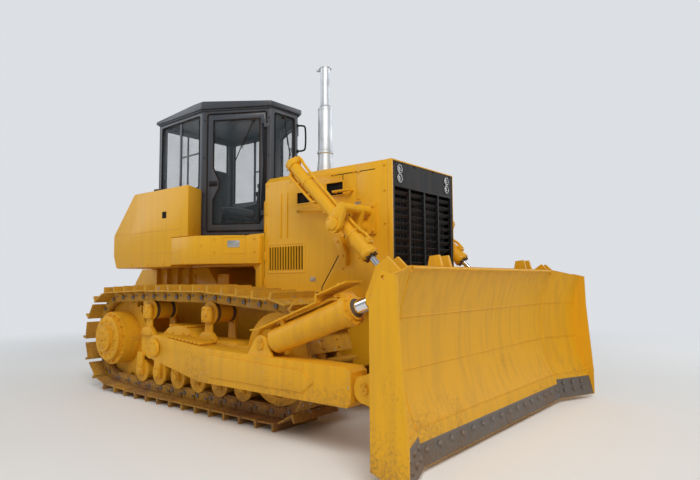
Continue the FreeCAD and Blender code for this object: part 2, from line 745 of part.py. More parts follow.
def engine_housing():
    block = Piece("engine_block")
    block.pad("XZ", [rectangle(at.engine_rear_x, at.deck_top, at.engine_front_x, at.engine_top)],
              2 * at.engine_half)
    block.done()

    # hood: a bent sheet, open below
    hood = Piece("hood")
    half, top, sheet_thick, bevel = at.hood_half, at.hood_top, at.hood_sheet, at.hood_chamfer
    inner_half, inner_top = half - sheet_thick, top - sheet_thick
    profile = [(-half, at.hood_side_low), (-inner_half, at.hood_side_low), (-inner_half, inner_top - bevel),
               (-inner_half + bevel, inner_top), (inner_half - bevel, inner_top),
               (inner_half, inner_top - bevel), (inner_half, at.hood_side_low), (half, at.hood_side_low),
               (half, top - bevel), (half - bevel, top), (-half + bevel, top), (-half, top - bevel)]
    hood.pad("YZ", [profile], at.guard_rear_x - at.hood_rear_x,
             level=(at.guard_rear_x + at.hood_rear_x) / 2)
    vents = ((2400, 2580, 2070, 2180), (2800, 3010, 2110, 2230))
    for rear, front, low, high in vents:
        hood.cut("XZ", [rectangle(rear, low, front, high)], 3 * half)
    hood.done()

    # the guard's side plates lean back along the seam, and the panels end there
    seam = [(2735, 1140), (2735, 1222), (2975, 1560), (3110, 1980)]
    guard = Piece("radiator_guard")
    lip = at.seam_gap
    plate = ([(at.guard_front_x, at.deck_top)] + [(at.guard_front_x, at.guard_top)]
             + [(at.guard_rear_x, at.guard_top), (at.guard_rear_x, at.hood_side_low)]
             + [(seam[3][0] + lip, at.hood_side_low)]
             + [(x + lip, size(z)) for x, z in seam[2:0:-1]] + [(seam[0][0] + lip, at.deck_top)])
    for side in (-1, 1):
        guard.pad("XZ", [plate], at.guard_wall, level=side * (at.hood_half - at.guard_wall / 2))
    guard.pad("XY", [rectangle(at.guard_rear_x, -at.hood_half, at.guard_front_x, at.hood_half)],
              at.guard_wall, level=at.guard_top - at.guard_wall / 2)
    guard.done()

    for mark, side in both_sides():
        panel = Piece("side_panel_" + mark)
        outline = ([(at.hood_rear_x, at.deck_top), (seam[0][0], at.deck_top)]
                   + [(size(x), size(z)) for x, z in seam[1:3]]
                   + [(seam[3][0], at.hood_side_low), (at.hood_rear_x, at.hood_side_low)])
        panel.pad("XZ", [outline], at.hood_sheet, level=side * (at.hood_half - at.hood_sheet / 2))
        louvre = rectangle(at.louvre_first_x, at.louvre_low,
                           at.louvre_first_x + at.louvre_wide, at.louvre_high)
        slot = panel.cut("XZ", [louvre], 4 * at.hood_sheet,
                         level=side * (at.hood_half - at.hood_sheet / 2))
        panel.row(slot, "X_Axis", at.louvre_run, LOUVRES)
        panel.done()

    grille = Piece("radiator_grille")
    middle = at.guard_front_x + at.grille_thick / 2
    inner = at.hood_half - at.grille_side
    band = at.guard_top - at.grille_band
    grille.pad("YZ", [rectangle(-at.hood_half, at.deck_top, at.hood_half, at.guard_top)],
               at.grille_thick, level=middle)
    column = (2 * inner - (COLUMNS - 1) * at.mullion) / COLUMNS
    for i in range(COLUMNS):
        left = -inner + i * (column + at.mullion)
        grille.cut("YZ", [rectangle(left, at.grille_low, left + column, band)],
                   3 * at.grille_thick, level=middle)
    spots = [(y, z) for y in (-at.lamp_half, at.lamp_half) for z in (at.lamp_low_z, at.lamp_high_z)]
    for y, z in spots:
        grille.cut("YZ", [("circle", y, z, at.lamp_radius)], 3 * at.grille_thick, level=middle)
    front, low = at.guard_front_x, at.grille_low
    slat = grille.pad("XZ", [[(front - 4, low + 20), (front + 4, low + 14), (front + 24, low + 44),
                              (front + 16, low + 50)]], 2 * inner)
    grille.row(slat, "Z_Axis", at.slat_run, SLATS)
    grille.done()

    lamps = Piece("headlamps")
    radius, deep = at.lamp_radius - at.lamp_slack, at.grille_thick
    for y, z in spots:
        lamps.turned("XZ", [[(0, 0), (0, radius), (deep - 8, radius), (deep - 3, radius - 10), (deep, 0)]],
                     level=y, origin=(front, z))
    lamps.done()

    stack = Piece("exhaust_stack")
    neck = at.hood_top + 50
    body = at.stack_top - at.stack_upper_long
    collar = at.stack_collar_z
    bore = at.stack_upper_radius - 6
    stack.turned("XZ", [[(0, at.hood_top), (at.stack_base_radius, at.hood_top),
                         (at.stack_base_radius, neck), (at.stack_body_radius, neck + 260),
                         (at.stack_body_radius, collar - 10), (at.stack_collar_radius, collar),
                         (at.stack_collar_radius, collar + 25), (at.stack_body_radius, collar + 35),
                         (at.stack_body_radius, body), (at.stack_upper_radius, body + 45),
                         (at.stack_upper_radius, at.stack_top), (bore, at.stack_top),
                         (bore, at.stack_top - 120), (0, at.stack_top - 120)]],
                 axis="V_Axis", level=at.stack_y, origin=(at.stack_x, 0))
    stack.done()


def tank_and_fenders():
    tank = Piece("fuel_tank")
    tank.pad("XZ", [[(at.tank_rear_x + at.tank_tuck, at.case_top), (at.fender_rear_x, at.case_top),
                     (at.fender_rear_x, at.fender_top), (at.tank_front_x, at.fender_top),
                     (at.tank_front_x, at.tank_top), (at.tank_slope_x, at.tank_top),
                     (at.tank_rear_x, at.tank_bend), (at.tank_rear_x, at.case_top + 160)]],
             2 * at.tank_half)
    # the bay for the cab, which widens to the front so that the doors can swing
    front = at.tank_front_x
    bay = [(at.bay_rear_x, -at.bay_half), (at.tank_front_inner_x, -at.bay_half), (front, -at.tank_half),
           (front + 100, -at.tank_half), (front + 100, at.tank_half), (front, at.tank_half),
           (at.tank_front_inner_x, at.bay_half), (at.bay_rear_x, at.bay_half)]
    tank.cut("XY", [bay], 3000, level=at.tank_top)
    tank.done()

    platform = Piece("cab_platform")
    half = at.platform_half
    platform.pad("XY", [rectangle(at.cab_rear_x - 20, -half, at.fender_front_x, half)],
                 at.platform_top - at.case_top, level=(at.platform_top + at.case_top) / 2)
    platform.pad("XZ", [[(at.cab_front_x + 20, at.platform_top), (at.fender_front_x, at.platform_top),
                         (at.fender_front_x, at.cowl_front_top),
                         (at.cab_front_x + 70, at.cowl_rear_top + 50),
                         (at.cab_front_x + 20, at.cowl_rear_top)]], 2 * at.cowl_half)
    for side in (-1, 1):
        platform.pad("XZ", [rectangle(at.fender_front_x - at.leg_wide, at.deck_top,
                                      at.fender_front_x, at.case_top)],
                     100, level=side * (at.platform_half - 50))
    platform.done()

    for mark, side in both_sides():
        fender = Piece("fender_" + mark)
        fender.pad("XY", [[(at.fender_rear_x, side * half), (at.fender_rear_x, side * at.tank_half),
                           (at.fender_corner_x, side * at.tank_half),
                           (at.fender_front_x, side * at.fender_front_half),
                           (at.fender_front_x, side * at.platform_half)]],
                   at.fender_top - at.fender_low, level=(at.fender_top + at.fender_low) / 2)
        fender.pad("XZ", [[(at.fender_front_x - at.leg_wide, at.deck_top),
                           (at.fender_front_x, at.deck_top), (at.fender_front_x, at.fender_low),
                           (at.fender_front_x - at.leg_wide - 60, at.fender_low),
                           (at.fender_front_x - at.leg_wide, at.fender_low - 70)]],
                   at.leg_thick, level=side * (at.platform_half + at.leg_thick / 2))
        fender.done()


def cab_corner(name, side):
    """A corner of the cab in plan: front, mid or rear, on the right or the left."""
    return (getattr(at, "cab_%s_x" % name), side * getattr(at, "cab_%s_half" % name))


def cab_walls(side):
    """The two walls of one side: name, front corner, back corner and heading of the sketch's x."""
    walls = []
    for name, front, back in (("door", "front", "mid"), ("side", "mid", "rear")):
        x0, y0 = cab_corner(front, side)
        x1, y1 = cab_corner(back, side)
        run = x0 - x1
        spread = (getattr(at, "cab_%s_half" % back) - getattr(at, "cab_%s_half" % front))
        lean = (spread / run).arctan()
        heading = lean if side < 0 else 180 - lean
        length = (run * run + spread * spread).root()
        walls.append((name, (x0, y0), heading, length))
    return walls


def wall_opening(side, name, length):
    """Outline of the hole in a wall, along it from the front corner and up."""
    low = at.platform_top + at.cab_sill if name == "door" else at.window_low
    return rectangle(side * at.post, low, side * (length - at.post), at.cab_eave - at.cab_header)


def wall_point(side, corner, heading, along, out):
    """A point in plan, from its distance along a side wall and its distance out of it."""
    return (corner[0] + side * along * heading.cos() + out * heading.sin(),
            corner[1] + side * along * heading.sin() - out * heading.cos())


def door_hinges(piece, side, corner, heading, on_door):
    """Half of both hinges: leaves and knuckles, with the pins standing on the cab's half."""
    pin = wall_point(side, corner, heading, at.hinge_along, at.hinge_out)
    tall, slack = at.knuckle_tall, at.pin_slack
    near, far = at.hinge_along - 46, at.hinge_along
    if on_door:
        near, far = at.hinge_along + 6, at.hinge_along + 48
    for foot in (at.hinge_low_z, at.hinge_high_z):
        low = foot + tall + 1 if on_door else foot
        piece.pad("XZ", [rectangle(side * near, low, side * far, low + tall)], at.hinge_leaf,
                  origin=corner, heading=heading, level=at.hinge_leaf / 2)
        piece.pad("XY", [("circle", pin[0], pin[1], at.knuckle_radius)], tall, level=low + tall / 2)
        if on_door:
            piece.pad("XZ", [rectangle(side * (at.hinge_along + 2), low, side * far, low + tall)], 4,
                      origin=corner, heading=heading, level=at.hinge_leaf)
            piece.cut("XY", [("circle", pin[0], pin[1], at.hinge_pin_radius + slack)], 2 * tall,
                      level=low + tall / 2)
        else:
            piece.pad("XY", [("circle", pin[0], pin[1], at.hinge_pin_radius)], tall,
                      level=low + tall * 1.5)


def door_glass_outline(side, length):
    """The pane steps forward at the handle, so its rear edge is cut in below."""
    near = at.post + at.door_gap + at.door_rail
    far = length - near
    low = at.platform_top + at.cab_sill + at.door_gap + at.door_rail + 10
    high = at.cab_eave - at.cab_header - at.door_gap - at.door_rail
    return [(side * near, low), (side * far, low), (side * far, 2250), (side * (far - 75), 2400),
            (side * (far - 75), 2470), (side * far, 2620), (side * far, high), (side * near, high)]


def front_window():
    half = at.cab_front_half - at.post + 10
    return rectangle(-half, at.platform_top + 480, half, at.cab_eave - at.cab_header)


def rear_window():
    half = at.cab_rear_half - at.post - 30
    return rectangle(-half, at.window_low, half, at.cab_eave - at.cab_header)


def cab():
    front_r, mid_r, rear_r = [cab_corner(n, -1) for n in ("front", "mid", "rear")]
    front_l, mid_l, rear_l = [cab_corner(n, 1) for n in ("front", "mid", "rear")]
    plan = [front_r, front_l, mid_l, rear_l, rear_r, mid_r]
    wall = at.cab_wall
    thin = wall * 1.15
    inside = [(front_r[0] - wall, front_r[1] + wall * 0.56), (front_l[0] - wall, front_l[1] - wall * 0.56),
              (mid_l[0] - wall * 0.2, mid_l[1] - thin), (rear_l[0] + wall, rear_l[1] - wall),
              (rear_r[0] + wall, rear_r[1] + wall), (mid_r[0] - wall * 0.2, mid_r[1] + thin)]
    tall = at.cab_eave - at.platform_top
    shell = Piece("cab_frame")
    shell.pad("XY", [plan], tall, level=(at.cab_eave + at.platform_top) / 2)
    shell.cut("XY", [inside], tall, level=at.cab_eave - tall / 2 + 30)
    panes = Piece("cab_glass")
    for mark, side in both_sides():
        for name, corner, heading, length in cab_walls(side):
            opening = wall_opening(side, name, length)
            shell.cut("XZ", [opening], 3.2 * wall, origin=corner, heading=heading)
            if name == "door":
                door_hinges(shell, side, corner, heading, False)
            else:
                panes.pad("XZ", [opening], at.glass_thick, origin=corner, heading=heading, level=-wall / 2)
    shell.cut("YZ", [front_window()], 3 * wall, level=at.cab_front_x)
    shell.cut("YZ", [rear_window()], 3 * wall, level=at.cab_rear_x)
    panes.pad("YZ", [front_window()], at.glass_thick, level=at.cab_front_x - wall / 2)
    panes.pad("YZ", [rear_window()], at.glass_thick, level=at.cab_rear_x + wall / 2)
    shell.done()
    panes.done()

    over = at.roof_over
    roof = Piece("cab_roof")
    roof.pad("XZ", [[(at.cab_rear_x - over, at.cab_eave), (at.cab_front_x + over, at.cab_eave),
                     (at.cab_front_x + over, at.roof_front), (at.cab_mid_x + over, at.roof_ridge),
                     (at.cab_mid_x - 150, at.roof_ridge), (at.cab_rear_x - over, at.roof_rear)]],
             2 * (at.cab_mid_half + over))
    for side in (-1, 1):
        wide = side * (at.cab_mid_half + over)
        beyond = side * (at.cab_mid_half + 2 * over)
        roof.cut("XY", [[(at.cab_front_x + 3 * over, side * (at.cab_front_half + over)),
                         (at.cab_front_x + over, side * (at.cab_front_half + over)),
                         (at.cab_mid_x + over, wide), (at.cab_mid_x - 10, wide),
                         (at.cab_rear_x - over, side * (at.cab_rear_half + over)),
                         (at.cab_rear_x - 3 * over, side * (at.cab_rear_half + over)),
                         (at.cab_rear_x - 3 * over, beyond), (at.cab_front_x + 3 * over, beyond)]],
                 400, level=at.cab_eave)
    roof.done()

    for mark, side in both_sides():
        name, corner, heading, length = cab_walls(side)[0]
        gap = at.door_gap
        door = Piece("door_" + mark)
        door.pad("XZ", [rectangle(side * (at.post + gap), at.platform_top + at.cab_sill + gap,
                                  side * (length - at.post - gap), at.cab_eave - at.cab_header - gap)],
                 wall, origin=corner, heading=heading, level=-wall / 2)
        pane = door_glass_outline(side, length)
        door.cut("XZ", [pane], 3 * wall, origin=corner, heading=heading, level=-wall / 2)
        door_hinges(door, side, corner, heading, True)
        door.done()
        glass = Piece("door_glass_" + mark)
        glass.pad("XZ", [pane], at.glass_thick, origin=corner, heading=heading, level=-wall / 2)
        glass.done()

    seat = Piece("seat")
    foot = at.platform_top + 30
    seat.pad("XZ", [[(420, foot), (780, foot), (780, foot + 260), (860, foot + 290), (860, foot + 400),
                     (400, foot + 400), (330, foot + 950), (220, foot + 950), (280, foot + 260),
                     (420, foot + 260)]], 2 * at.seat_half)
    seat.done()
    console = Piece("control_console")
    console.pad("XZ", [[(1290, foot), (1540, foot), (1540, foot + 700), (1480, foot + 720),
                        (1330, foot + 560)]], 2 * at.console_half)
    for side in (-1, 1):
        console.pad("XZ", [[(420, foot), (800, foot), (840, foot + 480), (420, foot + 430)]],
                    at.armrest_wide, level=side * at.armrest_y)
    console.done()

    rails = Piece("handrails")
    z, radius, out = at.rail_z, at.rail_radius, at.rail_out
    run = at.rail_front_x - at.rail_rear_x + 2 * radius
    for side in (-1, 1):
        for x in (at.rail_rear_x, at.rail_front_x):
            rails.pad("XZ", [("circle", x, z, radius)], out, level=side * (at.hood_half + out / 2))
        rails.pad("YZ", [("circle", side * (at.hood_half + out), z, radius)], run,
                  level=(at.rail_front_x + at.rail_rear_x) / 2)
    rails.done()


def lift_line():
    """Where each lift cylinder's trunnion and eye lie, seen from the side."""
    pivot_x = at.lift_eye_x - at.lift_pivot_reach * at.lift_tilt.cos()
    pivot_z = at.lift_eye_z - at.lift_pivot_reach * at.lift_tilt.sin()
    return pivot_x, pivot_z


def lift_gear(mark, side):
    pivot_x, pivot_z = lift_line()
    line = dict(level=side * at.lift_y, origin=(pivot_x, pivot_z), turn=at.lift_tilt)
    radius, rod = at.lift_barrel_radius, at.lift_rod_radius
    bore = rod + at.rod_gap
    low, high = at.lift_barrel_low, at.lift_barrel_high
    barrel = Piece("lift_barrel_" + mark)
    # a tube between a wider cap at its closed end and a long head that guides the rod
    cap, head = at.lift_cap_radius, at.lift_head_radius
    cap_end, head_start = at.lift_cap_long - high, low - at.lift_head_long
    barrel.turned("XZ", [[(-high, 0), (-high, cap - 10), (10 - high, cap), (cap_end, cap),
                          (cap_end, radius), (head_start, radius), (head_start + 8, head),
                          (low - 12, head), (low, head - 12), (low, bore), (90 - high, bore),
                          (90 - high, 0)]], **line)
    # the trunnion pins start in the barrel's wall, so that the bore stays free
    pin_in = bore + 6
    pin_out = radius + at.yoke_gap - 6 + at.yoke_plate + 12
    for out in (-1, 1):
        barrel.pad("XZ", [("circle", pivot_x, pivot_z, at.lift_pin_radius)], pin_out - pin_in,
                   level=side * (at.lift_y + out * (pin_out + pin_in) / 2))
    barrel.done()

    reach = at.lift_pivot_reach
    piston = Piece("lift_rod_" + mark)
    piston.turned("XZ", [[(reach - at.lift_rod_long, 0), (reach - at.lift_rod_long, rod),
                          (reach - at.eye_radius + 14, rod), (reach - at.eye_radius + 14, 0)]], **line)
    piston.pad("XZ", [("circle", at.lift_eye_x, at.lift_eye_z, at.eye_radius)],
               2 * at.eye_half, level=side * at.lift_y)
    piston.done()

    yoke = Piece("lift_yoke_" + mark)
    bar_x = pivot_x + at.yoke_reach * at.yoke_turn.cos()
    bar_z = pivot_z + at.yoke_reach * at.yoke_turn.sin()
    ear, plate = at.yoke_ear, at.yoke_plate
    middle = radius + at.yoke_gap + plate / 2
    for out in (-1, 1):
        level = side * (at.lift_y + out * middle)
        yoke.pad("XZ", [("circle", pivot_x, pivot_z, ear)], plate, level=level)
        yoke.pad("XZ", [[(pivot_x - 62, pivot_z + 50), (pivot_x + 62, pivot_z - 50),
                         (bar_x + 40, bar_z - 10), (bar_x + 8, bar_z + 42), (bar_x - 42, bar_z + 15)]],
                 plate, level=level)
    far = at.lift_y + middle + plate / 2
    near = at.lift_y - middle - plate / 2
    yoke.pad("XZ", [("circle", bar_x, bar_z, at.yoke_bar_radius)], far - at.hood_half,
             level=side * (far + at.hood_half) / 2)
    yoke.pad("XZ", [rectangle(bar_x - 120, bar_z - 210, bar_x + 75, bar_z + 75)], 22,
             level=side * (at.hood_half + 11))
    yoke.pad("XZ", [("circle", pivot_x, pivot_z, ear)], near + 6 - at.hood_half,
             level=side * (near + 6 + at.hood_half) / 2)
    yoke.cut("XZ", [("circle", pivot_x, pivot_z, at.lift_pin_radius + at.pin_slack)],
             2 * (middle + plate / 2 + 12), level=side * at.lift_y)
    yoke.done()


def hollow_x(z, deeper=0):
    """The blade's hollow face at a height, or a like face that much further back."""
    radius, drop = at.hollow_radius + deeper, size(z) - at.hollow_z
    return at.hollow_x - (radius * radius - drop * drop).root()


def back_face_x(z):
    return hollow_x(z, at.blade_plate)


def moldboard_outline():
    """Section of the blade plate: a hollow front face, a like back face and the cutting edge."""
    top, knee, low = at.blade_top, at.blade_knee, at.blade_low
    return [(hollow_x(top), top), (back_face_x(top), top, at.hollow_radius + at.blade_plate),
            (back_face_x(knee), knee), (hollow_x(knee) + 20, low), (hollow_x(knee) + 54, low),
            (hollow_x(knee), knee, -at.hollow_radius)]


def wing_forward(y):
    """How far the wing has come forward at a distance from the middle."""
    return at.wing_reach * (size(y) - at.blade_centre_half) / (at.blade_half - at.blade_centre_half)


def lug(board, side, y, thick, eye_x, eye_z, radius, low, high, crest=()):
    """A plate on the back of the blade that carries an eye. Its front edge follows the blade's arc."""
    forward = wing_forward(y - thick / 2) + 12 if y.value > at.blade_centre_half.value else size(12)
    outline = [(back_face_x(high) + forward, high)] + list(crest)
    outline += [(eye_x - radius * 0.75, eye_z + radius * 0.66), (eye_x - radius * 0.5, eye_z - radius * 0.86),
                (back_face_x(low) + forward, low, -at.hollow_radius - at.blade_plate)]
    board.pad("XZ", [outline], thick, level=side * y)
    board.pad("XZ", [("circle", eye_x, eye_z, radius)], thick, level=side * y)


def blade():
    board = Piece("blade")
    outline = moldboard_outline()
    half, tip = at.blade_centre_half, at.blade_half
    board.pad("XZ", [outline], 2 * half)
    for side in (-1, 1):
        lean = (at.wing_reach, side * (tip - half), 0)
        board.pad("XZ", [outline], tip - half, level=side * half, lean=lean)
        board.cut("YZ", [[(side * half, at.blade_top), (side * (tip + 10), at.blade_top - at.wing_drop),
                          (side * (tip + 10), at.blade_top + 50), (side * half, at.blade_top + 50)]],
                  900, level=hollow_x(at.blade_top))
        # end plate
        x = hollow_x(at.blade_top) + at.wing_reach
        board.pad("XZ", [[(x - 205, 1050), (x - 205, 130), (x + 66, at.blade_low), (x + 66, 300),
                          (x + 8, 1000), (x, at.blade_top - at.wing_drop), (x - 120, 1345),
                          (x - 205, 1150)]], 24, level=side * (tip - 12))
        board.cut("XZ", [("circle", x - at.end_hole_back, at.end_hole_z, at.end_hole_radius)], 30,
                  level=side * (tip - 12))
    # box rails and upright ribs behind the plate
    rear = at.blade_back_x
    for low, high in ((at.rail_low, at.rail_low + 170), (at.rail_high - 95, at.rail_high)):
        board.pad("XZ", [[(rear + 60, low), (back_face_x(low) + 8, low), (back_face_x(high) + 8, high),
                          (rear + 60, high)]], 2 * half)
    for y in (-1340, -560, -190, 190, 560, 1340):
        board.pad("XZ", [[(rear + 60, 330), (back_face_x(330) + 8, 330, -at.hollow_radius - at.blade_plate),
                          (back_face_x(1290) + 8, 1290), (rear + 60, 1290)]], 26, level=y)
    pin = at.blade_pin_radius
    for side in (-1, 1):
        for out in (-1, 1):
            lug(board, side, at.lift_y + out * (at.eye_half + 9 + 15), 30, at.lift_eye_x, at.lift_eye_z,
                at.eye_radius + 14, size(800), size(1330),
                [(at.lift_eye_x + 240, 1372), (at.lift_eye_x + 210, 1478),
                 (at.lift_eye_x + 130, 1470), (at.lift_eye_x + 80, 1250)])
            lug(board, side, at.arm_y + out * 60, 30, at.arm_front_x, arm_middle(), size(95),
                size(345), size(740))
            lug(board, side, at.arm_y + out * 62.5, 25, at.tilt_front_x, at.tilt_front_z, size(85),
                size(1000), size(1330),
                [(at.tilt_front_x + 214, 1345), (at.tilt_front_x + 100, 1450),
                 (at.tilt_front_x + 5, 1385)])
        board.cut("XZ", [("circle", at.arm_front_x, arm_middle(), pin + at.pin_slack)], 200,
                  level=side * at.arm_y)
        board.cut("XZ", [("circle", at.tilt_front_x, at.tilt_front_z, pin + at.pin_slack)], 200,
                  level=side * at.arm_y)
    board.done()

    for mark, side in both_sides():
        push_arm(mark, side)
    tilt_cylinder()
    brace()


def arm_middle():
    return (at.arm_top + at.arm_low) / 2


def push_arm(mark, side):
    """A box arm from the trunnion on the track frame to the foot of the blade."""
    arm = Piece("push_arm_" + mark)
    x, z, pin = at.trunnion_x, at.trunnion_z, at.blade_pin_radius
    front = at.arm_front_x - 105
    low, top = at.arm_low, at.arm_top
    arm.pad("XZ", [[(x - 40, z - 118), (x + 700, low), (front - 40, low), (front, low + 40),
                    (front, top - 30), (front - 40, top), (x + 800, top + 20), (x - 20, z + 123)]],
            at.arm_thick, level=side * at.arm_y)
    arm.pad("XZ", [("circle", x, z, 125)], at.arm_thick, level=side * at.arm_y)
    arm.cut("XZ", [("circle", x, z, at.trunnion_radius + at.pin_slack)], 2 * at.arm_thick,
            level=side * at.arm_y)
    middle = arm_middle()
    arm.pad("XZ", [rectangle(front - 60, middle - 80, at.arm_front_x, middle + 80)], 80,
            level=side * at.arm_y)
    arm.pad("XZ", [("circle", at.arm_front_x, middle, 80)], 80, level=side * at.arm_y)
    arm.pad("XZ", [("circle", at.arm_front_x, middle, pin)], at.blade_pin_long, level=side * at.arm_y)
    eye_x, eye_z = at.tilt_rear_x, at.tilt_rear_z
    for out in (-1, 1):
        level = side * (at.arm_y + out * 62.5)
        arm.pad("XZ", [[(eye_x - 190, top - 30), (eye_x + 150, top - 30), (eye_x + 70, eye_z + 40),
                        (eye_x - 70, eye_z + 45)]], 25, level=level)
        arm.pad("XZ", [("circle", eye_x, eye_z, 82)], 25, level=level)
    arm.cut("XZ", [("circle", eye_x, eye_z, pin + at.pin_slack)], at.arm_thick, level=side * at.arm_y)
    arm.done()


def strut_line():
    """Slope and length between the upper pins of arm and blade."""
    run, rise = at.tilt_front_x - at.tilt_rear_x, at.tilt_front_z - at.tilt_rear_z
    return (rise / run).arctan(), (run * run + rise * rise).root()


def strut_ends(piece, y, ends):
    """An eye with its pin at each of the places given."""
    for x, z in ends:
        piece.pad("XZ", [("circle", x, z, 2 * at.blade_pin_radius)], 90, level=y)
        piece.pad("XZ", [("circle", x, z, at.blade_pin_radius)], at.blade_pin_long, level=y)


def tilt_cylinder():
    """Only the right-hand strut is a cylinder, with a bent plate over its hose."""
    slope, length = strut_line()
    line = dict(level=-at.arm_y, origin=(at.tilt_rear_x, at.tilt_rear_z), turn=slope)
    radius, rod = at.tilt_barrel_radius, at.tilt_rod_radius
    end = length - 235
    barrel = Piece("tilt_cylinder")
    barrel.turned("XZ", [[(40, 0), (40, 45), (95, 45), (110, 70), (125, radius), (end - 95, radius),
                          (end - 90, radius + 14), (end - 25, radius + 14), (end - 20, radius - 15),
                          (end, radius - 20), (end, rod + 0.3), (end - 120, rod + 0.3), (end - 120, 0)]],
                  **line)
    strut_ends(barrel, -at.arm_y, [(at.tilt_rear_x, at.tilt_rear_z)])
    rise = radius + 16
    for near, far in ((260, 300), (end - 70, end - 30)):
        barrel.pad("XZ", [rectangle(near, radius - 25, far, rise + 12)], 120, **line)
    barrel.pad("XZ", [[(-60, 20 + rise), (30, rise), (end - 280, rise + 10), (end - 260, rise + 60),
                       (end + 40, rise + 60), (end + 45, rise + 72), (end - 272, rise + 72),
                       (end - 292, rise + 22), (30, rise + 12), (-60, rise + 32)]], 200, **line)
    barrel.done()
    piston = Piece("tilt_rod")
    piston.turned("XZ", [[(end - 119, 0), (end - 119, rod), (length - 110, rod),
                          (length - 100, rod - 10), (length - 55, rod - 10), (length - 55, 0)]], **line)
    strut_ends(piston, -at.arm_y, [(at.tilt_front_x, at.tilt_front_z)])
    piston.done()


def brace():
    """The left-hand strut is a plain screwed tube."""
    slope, length = strut_line()
    line = dict(level=at.arm_y, origin=(at.tilt_rear_x, at.tilt_rear_z), turn=slope)
    strut = Piece("blade_brace")
    strut.turned("XZ", [[(50, 0), (50, 42), (300, 42), (300, 62), (length - 300, 62), (length - 300, 42),
                         (length - 50, 42), (length - 50, 0)]], **line)
    strut_ends(strut, at.arm_y, [(at.tilt_rear_x, at.tilt_rear_z), (at.tilt_front_x, at.tilt_front_z)])
    strut.done()


def build():
    for mark, side in both_sides():
        undercarriage(mark, side)
    hull()
    engine_housing()
    tank_and_fenders()
    cab()
    for mark, side in both_sides():
        lift_gear(mark, side)
    blade()


build()
doc.recompute()
broken = [o.Name for o in doc.Objects if "Invalid" in o.State or "Error" in o.State]
for thing in NODES:
    if thing.Shape.isNull() or not thing.Shape.isValid() or not thing.Shape.Solids:
        broken.append(thing.Label)
if broken:
    raise SystemExit("failed: " + ", ".join(broken))

os.makedirs("parts", exist_ok=True)
for thing in NODES:
    thing.Shape.exportStep("parts/%s.step" % thing.Label)
whole = Part.makeCompound([thing.Shape for thing in NODES]).BoundBox
print("nodes", len(NODES), "box", whole)
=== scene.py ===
# %% [markdown]
# # A crawler bulldozer, dressed
# The machine's solids come from its drawings, packed as one fixed frame. This lesson gives every
# solid a finish and adds what is fastened to it: bolts, seals, latches, pipes, lamps and cushions.
# Nothing in the frame is moved, and each new piece rides on the body that it is fastened to.

# %% Load the frame
import math

import bpy
from mathutils import Matrix, Vector


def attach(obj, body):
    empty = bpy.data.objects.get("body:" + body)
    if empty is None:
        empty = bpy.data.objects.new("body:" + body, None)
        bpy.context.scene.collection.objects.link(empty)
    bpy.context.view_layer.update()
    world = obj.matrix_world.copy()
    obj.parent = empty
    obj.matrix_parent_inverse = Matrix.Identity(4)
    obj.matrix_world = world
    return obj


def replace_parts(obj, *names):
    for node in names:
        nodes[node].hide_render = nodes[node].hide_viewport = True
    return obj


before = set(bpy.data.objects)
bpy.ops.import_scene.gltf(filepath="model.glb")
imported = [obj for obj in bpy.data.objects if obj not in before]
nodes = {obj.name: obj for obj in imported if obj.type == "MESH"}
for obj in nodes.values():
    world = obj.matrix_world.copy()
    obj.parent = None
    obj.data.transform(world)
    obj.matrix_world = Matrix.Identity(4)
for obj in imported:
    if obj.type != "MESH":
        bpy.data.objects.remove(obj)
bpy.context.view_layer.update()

# %% [markdown]
# ## Where things are
# The drawings count lengths from the sprocket axle, because the whole running gear is set out from
# it. The same habit is kept here: x from the axle forwards, y to the machine's left and z up, all
# in metres. Most pieces are built on the right side, the one that the photograph shows, and the
# left one is its twin.

# %% Points and directions
AXLE_X = -1.802
LEFT, UP, FRONT = Vector((0, 1, 0)), Vector((0, 0, 1)), Vector((1, 0, 0))
RIGHT, REAR = -LEFT, -FRONT


def spot(x, y, z):
    """A point in the frame, from its distance in front of the sprocket axle."""
    return Vector((x + AXLE_X, y, z))


def upright(across, out, origin):
    """A place for flat work on an upright surface, by its directions and one of its points."""
    place = Matrix((across, UP, out)).transposed().to_4x4()
    place.translation = origin
    return place


def on_side(y):
    """Flat work seen from the right: across is forwards and out is to the right."""
    return upright(FRONT, RIGHT, spot(0, y, 0))


def on_front(x):
    """Flat work seen from the front: across is to the left and out is forwards."""
    return upright(LEFT, FRONT, spot(x, 0, 0))


def on_rear(x):
    """Flat work seen from behind: across is to the right and out is to the rear."""
    return upright(RIGHT, REAR, spot(x, 0, 0))


def on_top(z):
    """Flat work seen from above: across is forwards, up is to the left and out is up."""
    return Matrix.Translation(spot(0, 0, z))


def on_wall(corner, end):
    """Flat work on an upright wall seen in plan, from a front corner to a rear one."""
    foot = spot(*corner, 0)
    along = (spot(*end, 0) - foot).normalized()
    out = along.cross(UP)
    return upright(along, -out if out.y * corner[1] < 0 else out, foot)


print("the axle is", -AXLE_X, "m behind the middle")

# %% [markdown]
# ## A small tool box
# Each piece starts as a primitive, is shaped in edit mode and gets rounded edges from a modifier
# that is applied. An operator acts on all that is selected, so everything is let go first. At the
# end the piece's place goes into its mesh, and its object sits at the frame's origin.

# %% Start and settle a piece


def begin():
    if bpy.context.object and bpy.context.object.mode != "OBJECT":
        bpy.ops.object.mode_set(mode="OBJECT")
    bpy.ops.object.select_all(action="DESELECT")


def renamed(piece, name):
    piece.name = piece.data.name = name
    return piece


def settle(name):
    piece = renamed(bpy.context.object, name)
    bpy.ops.object.transform_apply(location=True, rotation=True, scale=True)
    return piece


def pick(*pieces):
    begin()
    for piece in pieces:
        piece.select_set(True)
    bpy.context.view_layer.objects.active = pieces[-1]


